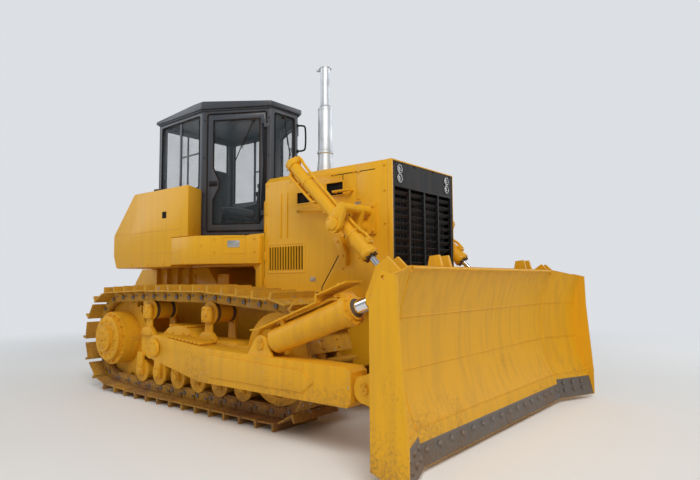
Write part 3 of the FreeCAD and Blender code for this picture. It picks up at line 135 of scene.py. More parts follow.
def rounded(piece, width, steps=2):
    """Rounds the edges, because pressed, cast and cut metal has none that is quite sharp."""
    if width:
        bevel = piece.modifiers.new("rounding", "BEVEL")
        bevel.width, bevel.segments, bevel.limit_method = width, steps, "ANGLE"
        pick(piece)
        bpy.ops.object.modifier_apply(modifier=bevel.name)
    return piece


def smooth(piece, angle=35):
    pick(piece)
    bpy.ops.object.shade_smooth_by_angle(angle=math.radians(angle))
    return piece


# %% Blocks, bars and cones


def block(name, low, high, rounding=0.004):
    begin()
    low, high = Vector(low), Vector(high)
    bpy.ops.mesh.primitive_cube_add(size=1, location=(low + high) / 2)
    bpy.context.object.scale = high - low
    return smooth(rounded(settle(name), rounding))


def bar(name, start, end, radius, end_radius=None, sides=28, rounding=0.002):
    """A round bar from point to point, or a cone where its end has another radius."""
    begin()
    way = end - start
    bpy.ops.mesh.primitive_cone_add(vertices=sides, radius1=radius, depth=way.length,
                                    radius2=radius if end_radius is None else end_radius,
                                    location=(start + end) / 2,
                                    rotation=way.to_track_quat("Z", "Y").to_euler())
    return smooth(rounded(settle(name), rounding))


def disc(name, foot, out, low, high, radius, end_radius=None, sides=28, rounding=0.002):
    """A short bar on a surface, from one height above the surface to another."""
    return bar(name, foot + low * out, foot + high * out, radius, end_radius, sides, rounding)


def weld(line, radius):
    """Thin beads from point to point."""
    return [bar("bead", start, end, radius, sides=8, rounding=0) for start, end in zip(line, line[1:])]

# %% [markdown]
# Plates are cut from sheet: a disc is added with as many points as the outline has, its rim is
# moved to the outline, and the face is extruded. An inset before the extrusion, with the middle
# taken out, makes a seal or a frame of the same plate.

# %% Plates and rings


def plate(name, outline, place, thick, rounding=0.003, border=0):
    """A plate on a drawing plane, or with a border a ring that follows the outline."""
    begin()
    bpy.ops.mesh.primitive_circle_add(vertices=len(outline), radius=1, fill_type="NGON")
    piece = bpy.context.object
    for vertex, point in zip(piece.data.vertices, outline):
        vertex.co = place @ Vector((point[0], point[1], 0))
    bpy.ops.object.mode_set(mode="EDIT")
    bpy.ops.mesh.select_all(action="SELECT")
    bpy.ops.mesh.normals_make_consistent(inside=False)
    if border:
        bpy.ops.mesh.inset(thickness=border, depth=0)
        bpy.ops.mesh.delete(type="ONLY_FACE")
        bpy.ops.mesh.select_all(action="SELECT")
    out = place.to_3x3() @ Vector((0, 0, thick))
    bpy.ops.mesh.extrude_region_move(TRANSFORM_OT_translate={"value": out})
    bpy.ops.mesh.select_all(action="SELECT")
    bpy.ops.mesh.normals_make_consistent(inside=False)
    bpy.ops.object.mode_set(mode="OBJECT")
    return smooth(rounded(settle(name), rounding))


def corners(x0, y0, x1, y1):
    return [(x0, y0), (x1, y0), (x1, y1), (x0, y1)]


def oval(x, y, across, high, count=20):
    turns = [2 * math.pi * i / count for i in range(count)]
    return [(x + across * math.cos(t), y + high * math.sin(t)) for t in turns]


def soft_corners(x0, y0, x1, y1, radius, steps=4):
    """A rectangle with round corners, counter-clockwise."""
    points = []
    for x, y, first in ((x1 - radius, y0 + radius, -90), (x1 - radius, y1 - radius, 0),
                        (x0 + radius, y1 - radius, 90), (x0 + radius, y0 + radius, 180)):
        for i in range(steps + 1):
            turn = math.radians(first + 90 * i / steps)
            points.append((x + radius * math.cos(turn), y + radius * math.sin(turn)))
    return points


# %% [markdown]
# Pipes and rails are bent from tube. A NURBS path runs near its points and turns smoothly, and a
# bevel gives it the tube's thickness. Two points close together make a tighter bend.

# %% Pipes


def pipe(name, points, radius):
    begin()
    bpy.ops.curve.primitive_nurbs_path_add(location=(0, 0, 0))
    line = bpy.context.object.data
    line.splines.clear()
    path = line.splines.new("NURBS")
    path.points.add(len(points) - 1)
    for control, point in zip(path.points, points):
        control.co = (*point, 1)
    path.order_u, path.use_endpoint_u = 3, True
    line.dimensions, line.resolution_u = "3D", 6
    line.bevel_depth, line.bevel_resolution, line.use_fill_caps = radius, 3, True
    bpy.ops.object.convert(target="MESH")
    return smooth(settle(name), 40)


# %% [markdown]
# What repeats is modelled once and copied, each copy with a mesh of its own, and the copies become
# one piece. A bolt is a six-sided head on a round washer, with the head's corners chamfered.

# %% Copies and bolts


def facing(point, out, turn=0):
    """A place at a point whose z axis points out of the surface there."""
    place = out.to_track_quat("Z", "Y").to_matrix().to_4x4()
    place.translation = point
    return place @ Matrix.Rotation(turn, 4, "Z")


def joined(name, pieces):
    pick(*pieces)
    if len(pieces) > 1:
        bpy.ops.object.join()
    return renamed(bpy.context.object, name)


def duplicate(piece, move):
    """A copy with a mesh of its own, moved to its place."""
    copy = piece.copy()
    copy.data = piece.data.copy()
    copy.data.transform(move)
    bpy.context.collection.objects.link(copy)
    return copy


def copies(pattern, name, places):
    begin()
    made = [duplicate(pattern, place) for place in places]
    bpy.data.objects.remove(pattern)
    return joined(name, made)


def stub(low, high, radius, end_radius=None, sides=12):
    """A plain pattern for copies: a bar on the z axis without rounding."""
    return bar("stub", low * UP, high * UP, radius, end_radius, sides, 0)


def bolts(name, radius, points, out):
    """Hexagon heads on washers. Each is turned a little, because no two are tightened alike."""
    washer = stub(-0.002, 0.3 * radius, 1.35 * radius)
    head = stub(0.2 * radius, 0.95 * radius, radius, 0.88 * radius, 6)
    places = [facing(point, out, 0.4 * i) for i, point in enumerate(points)]
    return copies(joined("bolt", [washer, head]), name, places)


def ring_of(centre, out, radius, count, turn=0.0):
    """Points spaced evenly on a circle."""
    place = facing(centre, out)
    angles = [turn + 2 * math.pi * i / count for i in range(count)]
    return [place @ Vector((radius * math.cos(a), radius * math.sin(a), 0)) for a in angles]


# %% [markdown]
# Most of the right side has a twin on the left. It is a copy of the mesh with y turned round, and
# because a mirror image is inside out, its faces are turned back.

# %% Twins


def twin(piece, name):
    other = duplicate(piece, Matrix.Scale(-1, 4, LEFT))
    pick(other)
    bpy.ops.object.mode_set(mode="EDIT")
    bpy.ops.mesh.select_all(action="SELECT")
    bpy.ops.mesh.flip_normals()
    bpy.ops.object.mode_set(mode="OBJECT")
    return renamed(other, name)


print("tools ready")

# %% [markdown]
# ## Finishes
# A finish is a small network of nodes. Two effects are used by many finishes, so each is a node
# group with named sockets, built once: earth and fading on paint, and chips down to the steel.
# The shader itself stays in the material, where its fixed values are set on its own sockets.

# %% Node helpers


def shader_node(tree, kind, settings=None, **sockets):
    """Adds a node; a socket's value is either a number or colour, or another node's output."""
    made = tree.nodes.new("ShaderNode" + kind)
    for key, value in (settings or {}).items():
        setattr(made, key, value)
    for key, value in sockets.items():
        feed(tree, made.inputs[key.replace("_", " ")], value)
    return made


def feed(tree, socket, value):
    if isinstance(value, bpy.types.NodeSocket):
        tree.links.new(value, socket)
    else:
        socket.default_value = value


def calc(tree, operation, *values):
    made = tree.nodes.new("ShaderNodeMath")
    made.operation = operation
    for socket, value in zip(made.inputs, values):
        feed(tree, socket, value)
    return made.outputs[0]


def plus(tree, first, second):
    return calc(tree, "ADD", first, second)


def times(tree, first, second):
    return calc(tree, "MULTIPLY", first, second)


def between(tree, share, first, second):
    """A colour between two, by a share from 0 to 1."""
    made = tree.nodes.new("ShaderNodeMix")
    made.data_type = "RGBA"
    for index, value in ((0, share), (6, first), (7, second)):
        feed(tree, made.inputs[index], value)
    return made.outputs[2]


def ramp(tree, value, low, high, at_low=0.0, at_high=1.0):
    settings = {"interpolation_type": "SMOOTHSTEP"}
    return shader_node(tree, "MapRange", settings, Value=value, From_Min=low, From_Max=high, To_Min=at_low,
                       To_Max=at_high).outputs[0]


def positions(tree):
    """Object coordinates, which are the frame's own, so a pattern stays on its piece."""
    return shader_node(tree, "TexCoord").outputs["Object"]


def height_of(tree):
    return shader_node(tree, "SeparateXYZ", Vector=positions(tree)).outputs["Z"]


def noise(tree, scale, detail=3.0, stretch=None):
    where = positions(tree)
    if stretch:
        where = shader_node(tree, "Mapping", Vector=where, Scale=stretch).outputs[0]
    return shader_node(tree, "TexNoise", Vector=where, Scale=scale, Detail=detail).outputs[0]


def bump(tree, strength, distance, relief):
    return shader_node(tree, "Bump", Strength=strength, Distance=distance, Height=relief).outputs[0]


def new_group(name, inputs, outputs):
    tree = bpy.data.node_groups.new(name, "ShaderNodeTree")
    for label, kind, value in inputs:
        socket = tree.interface.new_socket(label, in_out="INPUT", socket_type="NodeSocket" + kind)
        socket.default_value = value
    for label, kind in outputs:
        tree.interface.new_socket(label, in_out="OUTPUT", socket_type="NodeSocket" + kind)
    return tree, tree.nodes.new("NodeGroupInput").outputs, tree.nodes.new("NodeGroupOutput").inputs


# %% [markdown]
# Earth settles thickest near the ground and in blotches, and rain draws dull streaks of it down the
# paint. The group works out a mask for the earth from height and two noises, and gives a colour, a
# roughness and a normal.

# %% Group: weathered coat
tree, given, out = new_group(
    "weathered_coat",
    [("Colour", "Color", (0.8, 0.4, 0.01, 1)), ("Earth", "Color", (0.25, 0.13, 0.05, 1)),
     ("Earth amount", "Float", 0.4), ("Earth height", "Float", 1.2), ("Fading", "Float", 0.3),
     ("Gloss roughness", "Float", 0.4), ("Grain", "Float", 0.2)],
    [("Colour", "Color"), ("Roughness", "Float"), ("Normal", "Vector")])
blotches, grit = noise(tree, 2.2, 5.0), noise(tree, 45.0, 5.0)
streaks = noise(tree, 1.0, 3.0, (14.0, 14.0, 0.9))
lowness = ramp(tree, height_of(tree), 0.0, given["Earth height"], 1.0, 0.12)
pattern = plus(tree, times(tree, blotches, 0.6), times(tree, grit, 0.4))
edge = calc(tree, "SUBTRACT", 0.78, times(tree, times(tree, lowness, given["Earth amount"]), 0.5))
earth = ramp(tree, pattern, calc(tree, "SUBTRACT", edge, 0.16), plus(tree, edge, 0.16))
faded = between(tree, times(tree, ramp(tree, streaks, 0.42, 0.68), given["Fading"]), given["Colour"],
                between(tree, 0.5, given["Colour"], given["Earth"]))
feed(tree, out["Colour"], between(tree, earth, faded, given["Earth"]))
feed(tree, out["Roughness"], plus(tree, given["Gloss roughness"],
                                  plus(tree, times(tree, earth, 0.4), times(tree, blotches, 0.12))))
feed(tree, out["Normal"], bump(tree, given["Grain"], 0.002, plus(tree, times(tree, earth, 1.2), grit)))
coat_tree = tree
print("group:", coat_tree.name, len(coat_tree.nodes), "nodes")

# %% [markdown]
# Stones chip the paint where the machine works, and shoes and cutting edges are scoured bright.
# The second group puts out one mask: small flecks that crowd together in places.

# %% Group: chipped steel
tree, given, out = new_group("chipped_steel", [("Scale", "Float", 60.0), ("Amount", "Float", 0.3)],
                             [("Bare", "Float")])
flecks = shader_node(tree, "TexNoise", Vector=positions(tree), Scale=given["Scale"], Detail=6.0).outputs[0]
crowds = plus(tree, noise(tree, 3.5, 2.0), 0.25)
limit = calc(tree, "SUBTRACT", 0.92, times(tree, given["Amount"], crowds))
feed(tree, out["Bare"], ramp(tree, flecks, calc(tree, "SUBTRACT", limit, 0.03), limit))
chip_tree = tree
print("group:", chip_tree.name, len(chip_tree.nodes), "nodes")

# %% Painted and cast finishes
EARTH = (0.27, 0.135, 0.05, 1)
BARE_STEEL = (0.36, 0.34, 0.32, 1)


def new_finish(name, metallic=0.0, **fixed):
    """An empty finish: its tree, and a Principled shader with its fixed values."""
    finish = bpy.data.materials.new(name)
    finish.use_nodes = True
    shader = finish.node_tree.nodes["Principled BSDF"]
    shader.inputs["Metallic"].default_value = metallic
    for key, value in fixed.items():
        shader.inputs[key.replace("_", " ")].default_value = value
    return finish, finish.node_tree, shader.inputs


def placed(tree, group, **sockets):
    made = tree.nodes.new("ShaderNodeGroup")
    made.node_tree = group
    for key, value in sockets.items():
        feed(tree, made.inputs[key.replace("_", " ")], value)
    return made.outputs


def coated(name, colour, earth=0.4, height=1.2, fading=0.3, roughness=0.4, grain=0.2, coat=0.0,
           chips=0.0, metallic=0.0, chip_scale=60.0, specular=0.25):
    """Paint or raw casting under earth, with chips down to the steel where it is worn."""
    finish, tree, shader = new_finish(name, metallic, Coat_Weight=coat, Coat_Roughness=0.12,
                                      Specular_IOR_Level=specular)
    coat_out = placed(tree, coat_tree, Colour=(*colour, 1), Earth=EARTH, Earth_amount=earth,
                      Earth_height=height, Fading=fading, Gloss_roughness=roughness, Grain=grain)
    tint = coat_out["Colour"]
    if chips:
        bare = placed(tree, chip_tree, Scale=chip_scale, Amount=chips)["Bare"]
        tint = between(tree, bare, tint, BARE_STEEL)
    feed(tree, shader["Base Color"], tint)
    feed(tree, shader["Roughness"], coat_out["Roughness"])
    feed(tree, shader["Normal"], coat_out["Normal"])
    return finish


yellow = coated("yellow_paint", (0.82, 0.42, 0.012), earth=0.25, height=1.6, fading=0.16,
                roughness=0.40, grain=0.05, coat=0.15)
yellow_worked = coated("yellow_worked", (0.78, 0.385, 0.012), earth=0.42, height=1.1, fading=0.3,
                       roughness=0.45, grain=0.3, chips=0.25)
yellow_blade = coated("yellow_blade", (0.80, 0.405, 0.012), earth=0.34, height=1.0, fading=0.3,
                      roughness=0.42, grain=0.15, chips=0.16, chip_scale=30.0)
track_steel = coated("track_steel", (0.60, 0.32, 0.025), earth=0.62, height=1.7, fading=0.5,
                     roughness=0.52, grain=0.5, chips=0.3, chip_scale=26.0)
cast_dark = coated("cast_dark", (0.10, 0.075, 0.05), earth=0.7, height=1.5, fading=0.4, roughness=0.6,
                   grain=0.5)
cutting_steel = coated("cutting_steel", (0.20, 0.18, 0.16), earth=0.40, height=0.5, fading=0.3,
                       roughness=0.42, grain=0.2, metallic=0.6, chips=0.08)
cab_paint = coated("cab_paint", (0.050, 0.058, 0.073), earth=0.12, height=3.0, fading=0.1, roughness=0.4,
                   grain=0.05, coat=0.2, specular=0.5)
black_paint = coated("black_paint", (0.009, 0.009, 0.010), earth=0.18, height=2.4, fading=0.12,
                     roughness=0.5, grain=0.1)
rubber = coated("black_rubber", (0.008, 0.008, 0.009), earth=0.1, height=3.0, fading=0.2, roughness=0.72,
                grain=0.35)
plastic = coated("moulded_plastic", (0.020, 0.021, 0.023), earth=0.05, height=3.0, fading=0.1,
                 roughness=0.5, grain=0.5)
shadow = coated("opening_shade", (0.004, 0.004, 0.004), earth=0.1, height=2.0, fading=0.1,
                roughness=0.85)
print("painted finishes:", len(bpy.data.materials))

# %% [markdown]
# Chrome rods, the silver pipe and glass take their looks from what they reflect, so they need few
# colours. Faint rings from grinding on a rod, and a straw tint from heat on the pipe, are enough.

# %% Bright metal


def bright(name, colour, roughness, rings, heat=None):
    """Bare metal. Heat is a warm tint with the heights where it starts and where it is full."""
    finish, tree, shader = new_finish(name, 1.0)
    haze = noise(tree, 6.0, 4.0)
    dulled = [0.78 * part for part in colour]
    shade = between(tree, ramp(tree, haze, 0.35, 0.75), (*colour, 1), (*dulled, 1))
    if heat:
        tint, start, full = heat
        shade = between(tree, times(tree, ramp(tree, height_of(tree), start, full), 0.55), shade, (*tint, 1))
    feed(tree, shader["Base Color"], shade)
    feed(tree, shader["Roughness"], plus(tree, roughness, times(tree, haze, 0.16)))
    feed(tree, shader["Normal"], bump(tree, rings, 0.0004, noise(tree, 1.0, 2.0, (60.0, 60.0, 60.0))))
    return finish


chrome = bright("chrome_rod", (0.86, 0.87, 0.89), 0.05, rings=0.15)
stack_steel = bright("pipe_steel", (0.84, 0.87, 0.91), 0.46, rings=0.15,
                     heat=((0.66, 0.60, 0.52), 2.75, 2.4))
zinc = bright("zinc_plate", (0.55, 0.55, 0.53), 0.32, rings=0.4)

# %% Glass and lenses


def clear(name, colour, roughness, alpha, glow=0.0):
    """A tinted pane. Dust lies on it in a thin uneven film, which shows in its roughness."""
    finish, tree, shader = new_finish(name, 0.0, IOR=1.45, Coat_Weight=glow)
    film = ramp(tree, noise(tree, 3.0, 6.0), 0.4, 0.8)
    feed(tree, shader["Base Color"], between(tree, times(tree, film, 0.3), (*colour, 1), EARTH))
    feed(tree, shader["Roughness"], plus(tree, roughness, times(tree, film, 0.08)))
    feed(tree, shader["Alpha"], plus(tree, alpha, times(tree, film, 0.06)))
    return finish


glass = clear("tinted_glass", (0.10, 0.14, 0.17), 0.02, 0.12)
lens = clear("lamp_lens", (0.34, 0.36, 0.38), 0.06, 1.0, glow=1.0)
red_lens = clear("tail_lens", (0.45, 0.01, 0.008), 0.12, 1.0, glow=1.0)

# %% [markdown]
# The seat's cloth is so finely woven that only its grain shows: crossed waves on Object
# coordinates lift the threads, and a noise makes its roughness uneven.

# %% Seat cloth
seat_cloth, tree, shader = new_finish("seat_cloth", 0.0, Sheen_Weight=0.4)
threads = [shader_node(tree, "TexWave", {"bands_direction": way}, Scale=170.0, Distortion=0.4,
                       Vector=positions(tree)).outputs["Fac"] for way in ("X", "Y", "Z")]
weave = plus(tree, times(tree, threads[0], threads[1]), threads[2])
feed(tree, shader["Base Color"], between(tree, ramp(tree, weave, 0.2, 1.4), (0.011, 0.012, 0.014, 1),
                                         (0.032, 0.034, 0.038, 1)))
feed(tree, shader["Roughness"], ramp(tree, noise(tree, 30.0), 0.3, 0.7, 0.75, 0.95))
feed(tree, shader["Normal"], bump(tree, 0.4, 0.001, weave))
print("finishes:", len(bpy.data.materials))

# %% [markdown]
# ## Dress the solids
# Each solid gets its finish by assigning to its material slot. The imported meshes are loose
# triangles, so live modifiers weld them, merge flat neighbours, round the edges where a sheet is
# bent or a casting has a radius, and split the sharp edges, which gives clean highlights.

# %% Finishes of the solids
# A star stands for a pair, one on each side.
by_finish = {
    yellow: "hood side_panel* fuel_tank cab_platform fender* handrails lift_yoke* lift_barrel* main_frame "
            "radiator_guard",
    yellow_worked: "sprocket* idler* rollers* track_frame* push_arm* tilt_cylinder blade_brace cross_shafts",
    yellow_blade: "blade",
    track_steel: "track*",
    cast_dark: "drawbar engine_block",
    cab_paint: "cab_frame cab_roof door*",
    black_paint: "radiator_grille",
    chrome: "lift_rod* tilt_rod",
    stack_steel: "exhaust_stack",
    glass: "cab_glass door_glass*",
    lens: "headlamps",
    plastic: "control_console seat",
}
EDGE_ROUNDING = {"hood": 0.012, "fuel_tank": 0.02, "fender": 0.014, "cab_platform": 0.008,
                 "main_frame": 0.012, "cab_frame": 0.008, "cab_roof": 0.014, "door": 0.005,
                 "push_arm": 0.01, "track_frame": 0.005, "radiator_guard": 0.006, "lift_yoke": 0.005,
                 "control_console": 0.01}


def add_modifier(piece, kind, **settings):
    made = piece.modifiers.new(kind.lower(), kind)
    for key, value in settings.items():
        setattr(made, key, value)


dressed = 0
for finish, names in by_finish.items():
    for name in names.split():
        kind = name.rstrip("*")
        for solid in [nodes[kind + side] for side in (("_r", "_l") if name != kind else ("",))]:
            solid.data.materials.clear()
            solid.data.materials.append(finish)
            solid.data.shade_smooth()
            add_modifier(solid, "WELD", merge_threshold=0.00005)
            if kind in EDGE_ROUNDING:
                add_modifier(solid, "DECIMATE", decimate_type="DISSOLVE", angle_limit=math.radians(0.5))
                add_modifier(solid, "BEVEL", width=EDGE_ROUNDING[kind], segments=2, limit_method="ANGLE",
                             angle_limit=math.radians(40))
            add_modifier(solid, "EDGE_SPLIT", split_angle=math.radians(34))
            dressed += 1
print("dressed", dressed, "of", len(nodes), "solids")

# %% [markdown]
# New pieces are fastened in one line: the name, the finish, the forms that are joined and the body
# that they ride on. Of a pair, the left piece is made from the right one's mesh.


def fasten(name, finish, *forms, body="machine"):
    piece = joined(name, forms)
    piece.data.materials.clear()
    piece.data.materials.append(finish)
    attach(piece, body)
    return piece


def fasten_pair(name, finish, *forms, body="machine"):
    right = joined(name + "_r", forms)
    left_body = body[:-2] + "_l" if body.endswith("_r") else body
    fasten(name + "_l", finish, twin(right, name + "_l"), body=left_body)
    fasten(name + "_r", finish, right, body=body)

# %% [markdown]
# ## Cutting edge and end bits
# A blade wears at its foot, so the foot is a row of hardened plates bolted on, with heavier bits at
# the corners. The bolts have domed heads that sit in the plates' front. The plates follow the
# blade: straight in the middle and forwards along the wings.

# %% Cutting edges
BLADE = "blade_frame"
CENTRE_HALF, BLADE_HALF, WING_REACH = 1.359, 1.862, 0.2
HOLLOW_X, HOLLOW_Z, HOLLOW_R = 5.418, 0.842, 1.25
KNEE_Z, FOOT_Z, FOOT_REACH = 0.27, 0.04, 0.054


def face_x(z):
    """The blade's hollow front face."""
    return HOLLOW_X - math.sqrt(HOLLOW_R ** 2 - (z - HOLLOW_Z) ** 2)


def foot_x(z):
    """The sloping front face under the hollow, down to the cutting edge."""
    return face_x(KNEE_Z) + FOOT_REACH * (KNEE_Z - z) / (KNEE_Z - FOOT_Z)


def blade_front(y, z, proud=0.0):
    """A point on the blade's front, on the middle part or on a wing."""
    x = face_x(z) if z > KNEE_Z else foot_x(z)
    beyond = max(0.0, abs(y) - CENTRE_HALF)
    return spot(x + proud + WING_REACH * beyond / (BLADE_HALF - CENTRE_HALF), y, z)


def edge_strip(y0, y1, high, proud, low=0.045, thick=0.03):
    """A plate that lies on the blade's sloping foot between two places across it."""
    begin()
    bpy.ops.mesh.primitive_cube_add(size=1)
    piece = bpy.context.object
    for vertex in piece.data.vertices:
        y = y0 if vertex.co.y < 0 else y1
        z = low if vertex.co.z < 0 else high
        vertex.co = blade_front(y, z, proud if vertex.co.x > 0 else proud - thick)
    return rounded(settle("edge"), 0.004)


fasten("cutting_edges", cutting_steel, *[edge_strip(y0, y1, 0.19, 0.005) for y0, y1 in (
    (-1.355, -0.682), (-0.678, -0.002), (0.002, 0.678), (0.682, 1.355))], body=BLADE)
fasten("end_bits", cutting_steel, *[edge_strip(y0, y1, 0.235, 0.006) for y0, y1 in (
    (-1.85, -1.36), (1.36, 1.85))], body=BLADE)
edge_bolts = [blade_front(y / 1000, 0.14, 0.010) for y in range(-1290, 1300, 172)]
edge_bolts += [blade_front(side * y, z, 0.012) for side in (-1, 1) for y in (1.44, 1.57, 1.70)
               for z in (0.12, 0.19)]
fasten("edge_bolts", cutting_steel, copies(stub(-0.004, 0.012, 0.024, 0.012), "domes",
                                           [facing(point, FRONT) for point in edge_bolts]), body=BLADE)
print("cutting edge:", len(edge_bolts), "bolts")

# %% [markdown]
# The plate of the blade is welded from sheets, and its seams and the wear strip along the top show
# on the front. The lifting hole in each end plate is a real one, in the solid.

# %% Blade seams
across = (-BLADE_HALF + 0.03, -CENTRE_HALF, CENTRE_HALF, BLADE_HALF - 0.03)
seams = []
for z in (0.285, 0.66, 1.03):
    seams += weld([blade_front(y, z, 0.001) for y in across], 0.005)
for side in (-1, 1):
    seams += weld([blade_front(side * CENTRE_HALF, KNEE_Z + 0.105 * i, 0.001) for i in range(11)], 0.006)
fasten("blade_welds", yellow_blade, *seams, body=BLADE)
fasten("lip", yellow_blade, bar("lip", blade_front(-CENTRE_HALF, 1.372, 0.004),
                                blade_front(CENTRE_HALF, 1.372, 0.004), 0.013, sides=10, rounding=0),
       body=BLADE)

# %% [markdown]
# ## Pins and keepers
# Each arm and strut of the blade turns on pins, and a small keeper plate holds a pin: its two bolts
# sit beside the pin's head. The trunnion at the arm's rear has a bolted cap instead.

# %% Pin heads


def pin_head(centre, radius):
    """A pin's end with a chamfer, a grease nipple in its middle and a keeper across its rim."""
    low = centre + Vector((-0.7 * radius, -0.016, 0.72 * radius))
    spots = [centre + Vector((0.5 * radius * way, -0.016, 0.98 * radius)) for way in (-1, 1)]
    return (disc("pin", centre, RIGHT, -0.01, 0.012, radius, radius - 0.005, 24, 0),
            disc("nipple", centre, RIGHT, 0, 0.022, 0.008, 0.004, 8, 0),
            block("keeper", low, low + Vector((1.4 * radius, 0.008, 0.55 * radius)), 0.002),
            bolts("keeper_bolts", 0.2 * radius, spots, RIGHT))


ARM_Y, ARM_FRONT = 1.45, (3.99, 0.53)
TILT_REAR, TILT_FRONT = (2.93, 0.765), (4.09, 1.165)
for name, (x, z) in (("arm_pin", ARM_FRONT), ("strut_front_pin", TILT_FRONT), ("strut_rear_pin", TILT_REAR)):
    fasten_pair(name, yellow_worked, *pin_head(spot(x, -1.525, z), 0.034), body=BLADE)
trunnion = spot(1.43, -1.557, 0.64)
fasten_pair("trunnion_cap", yellow_worked, disc("cap", trunnion, RIGHT, -0.004, 0.022, 0.085, 0.078),
            bolts("cap_bolts", 0.011, ring_of(trunnion + 0.02 * RIGHT, RIGHT, 0.062, 6), RIGHT))
print("pins and caps fitted")

# %% [markdown]
# ## Lift cylinders
# Each cylinder has a port block at both ends of its barrel and a steel pipe between them that
# feeds the rod's end. The pipe is clamped to the barrel and rides with it, because the barrel
# swings in its yoke when the blade goes up.

# %% Lift cylinder fittings
LIFT_PIVOT, LIFT_Y, LIFT_SLOPE = (3.2404, 1.7789), 0.83, math.radians(-44.5)
PORT_HALF = 0.032


def on_slope(start, slope, along, off, y):
    """A point by its distance down a sloping cylinder and its distance above the middle line."""
    return spot(start[0] + along * math.cos(slope) - off * math.sin(slope), y,
                start[1] + along * math.sin(slope) + off * math.cos(slope))


def on_lift(along, off, y=-LIFT_Y):
    return on_slope(LIFT_PIVOT, LIFT_SLOPE, along, off, y)


def port_block(along, near):
    """A squat block with rounded sides, standing on the barrel."""
    outline = [on_lift(along + a, near + b) for a, b in (
        (-0.034, -0.02), (0.034, -0.02), (0.034, 0.030), (0.020, 0.040), (-0.020, 0.040), (-0.034, 0.030))]
    return plate("port", [(point.x - AXLE_X, point.z) for point in outline], on_side(PORT_HALF - LIFT_Y),
                 2 * PORT_HALF, 0.006)


LINE = (on_lift(1, 0) - on_lift(0, 0)).normalized()
FEED = ((-0.875, 0.100), (-0.83, 0.110), (-0.77, 0.086), (-0.2, 0.078), (0.16, 0.082), (0.24, 0.108),
        (0.30, 0.100))
LOW_FEED = ((-0.84, -0.055), (-0.84, -0.092), (-0.78, -0.098), (-0.46, -0.090), (-0.40, -0.082),
            (-0.40, -0.048))
parts = []
for along, near in ((-0.875, 0.055), (0.30, 0.062)):
    parts += [port_block(along, near),
              bar("nut", on_lift(along, 0.088), on_lift(along, 0.110), 0.022, sides=6, rounding=0)]
parts.append(pipe("feed", [on_lift(*place) for place in FEED], 0.014))
parts += [pipe("low_feed", [on_lift(*place, -LIFT_Y + y) for place in LOW_FEED], 0.0145)
          for y in (-0.018, 0.018)]
parts += [bar("low_clip", on_lift(along, -0.05), on_lift(along, -0.104), 0.020, sides=10, rounding=0)
          for along in (-0.70, -0.52)]
for along in (-0.62, -0.16, 0.13):
    parts += [bar("band", on_lift(along - 0.016, 0), on_lift(along + 0.016, 0), 0.061, sides=32),
              bar("clamp", on_lift(along, 0.05), on_lift(along, 0.094), 0.018, sides=10, rounding=0)]
fasten_pair("lift_fittings", yellow, *parts,
            bar("end_cap", on_lift(-0.928, 0), on_lift(-0.905, 0), 0.050, 0.062),
            bolts("cap_bolts", 0.010, ring_of(on_lift(-0.9265, 0), -LINE, 0.040, 6), -LINE),
            bar("head_ring", on_lift(0.372, 0), on_lift(0.404, 0), 0.0785, sides=36, rounding=0.003),
            body="lift_barrel_r")
fasten_pair("lift_gland", cast_dark, bar("gland", on_lift(0.404, 0), on_lift(0.422, 0), 0.050, 0.044),
            bolts("gland_bolts", 0.009, ring_of(on_lift(0.4195, 0), LINE, 0.055, 8), LINE),
            body="lift_barrel_r")
eye = spot(4.03, -LIFT_Y, 1.003)
fasten_pair("lift_eye_caps", cast_dark, *[disc("eye_cap", eye, out, 0.044, 0.050, 0.046, 0.043)
                                          for out in (RIGHT, LEFT)], body="lift_rod_r")
fasten_pair("lift_eye_pin", yellow_blade, disc("eye_pin", eye, RIGHT, 0.082, 0.096, 0.034, 0.030),
            bolts("pin_bolts", 0.009, [eye + Vector((0.052, -0.084, 0))], RIGHT), body=BLADE)

# %% [markdown]
# The yokes that carry the cylinders are bolted to a pad on the radiator's side plate. Each bearing
# cap has four bolts, and two supply pipes come along the hood to the yoke.

# %% Yokes and supply pipes
BEARING_OUT = 0.152
bearing = spot(LIFT_PIVOT[0], -LIFT_Y - BEARING_OUT, LIFT_PIVOT[1])
PAD_REACH, PAD_TURN = 0.165, math.radians(57.5)
pad = spot(LIFT_PIVOT[0] + PAD_REACH * math.cos(PAD_TURN), -0.587,
           LIFT_PIVOT[1] + PAD_REACH * math.sin(PAD_TURN))
pad_bolts = [pad + Vector((dx, 0, dz)) for dx in (-0.095, 0.05) for dz in (-0.18, 0.045)]
fasten_pair("yoke_caps", yellow, disc("bearing_cap", bearing, RIGHT, -0.004, 0.014, 0.056, 0.052),
            bolts("bearing_bolts", 0.010, ring_of(bearing, RIGHT, 0.068, 4, 0.8), RIGHT),
            bolts("pad_bolts", 0.013, pad_bolts, RIGHT))
supply = [pipe("supply", [spot(2.42, -0.575, 1.99), spot(2.45, -0.60, 1.99), spot(2.55, -0.602, 1.99),
                          spot(2.95, -0.602, 1.99 - dz), spot(3.10, -0.602, 1.96 - dz),
                          spot(3.17, -0.60, 1.945 - dz)], 0.012) for dz in (0.0, 0.035)]
fasten_pair("supply_pipes", yellow, *supply,
            block("pipe_clip", spot(2.80, -0.62, 1.935), spot(2.84, -0.57, 2.01), 0.003))

# %% [markdown]
# ## Tilt cylinder and its guard
# The right-hand strut is a cylinder. A stepped plate over it keeps stones off its pipes, and the
# pipes show between the plate and the barrel. The left-hand strut is turned in length by a nut.

# %% Tilt cylinder fittings
STRUT_SLOPE = math.atan2(TILT_FRONT[1] - TILT_REAR[1], TILT_FRONT[0] - TILT_REAR[0])


def on_strut(along, off, y=-ARM_Y):
    return on_slope(TILT_REAR, STRUT_SLOPE, along, off, y)


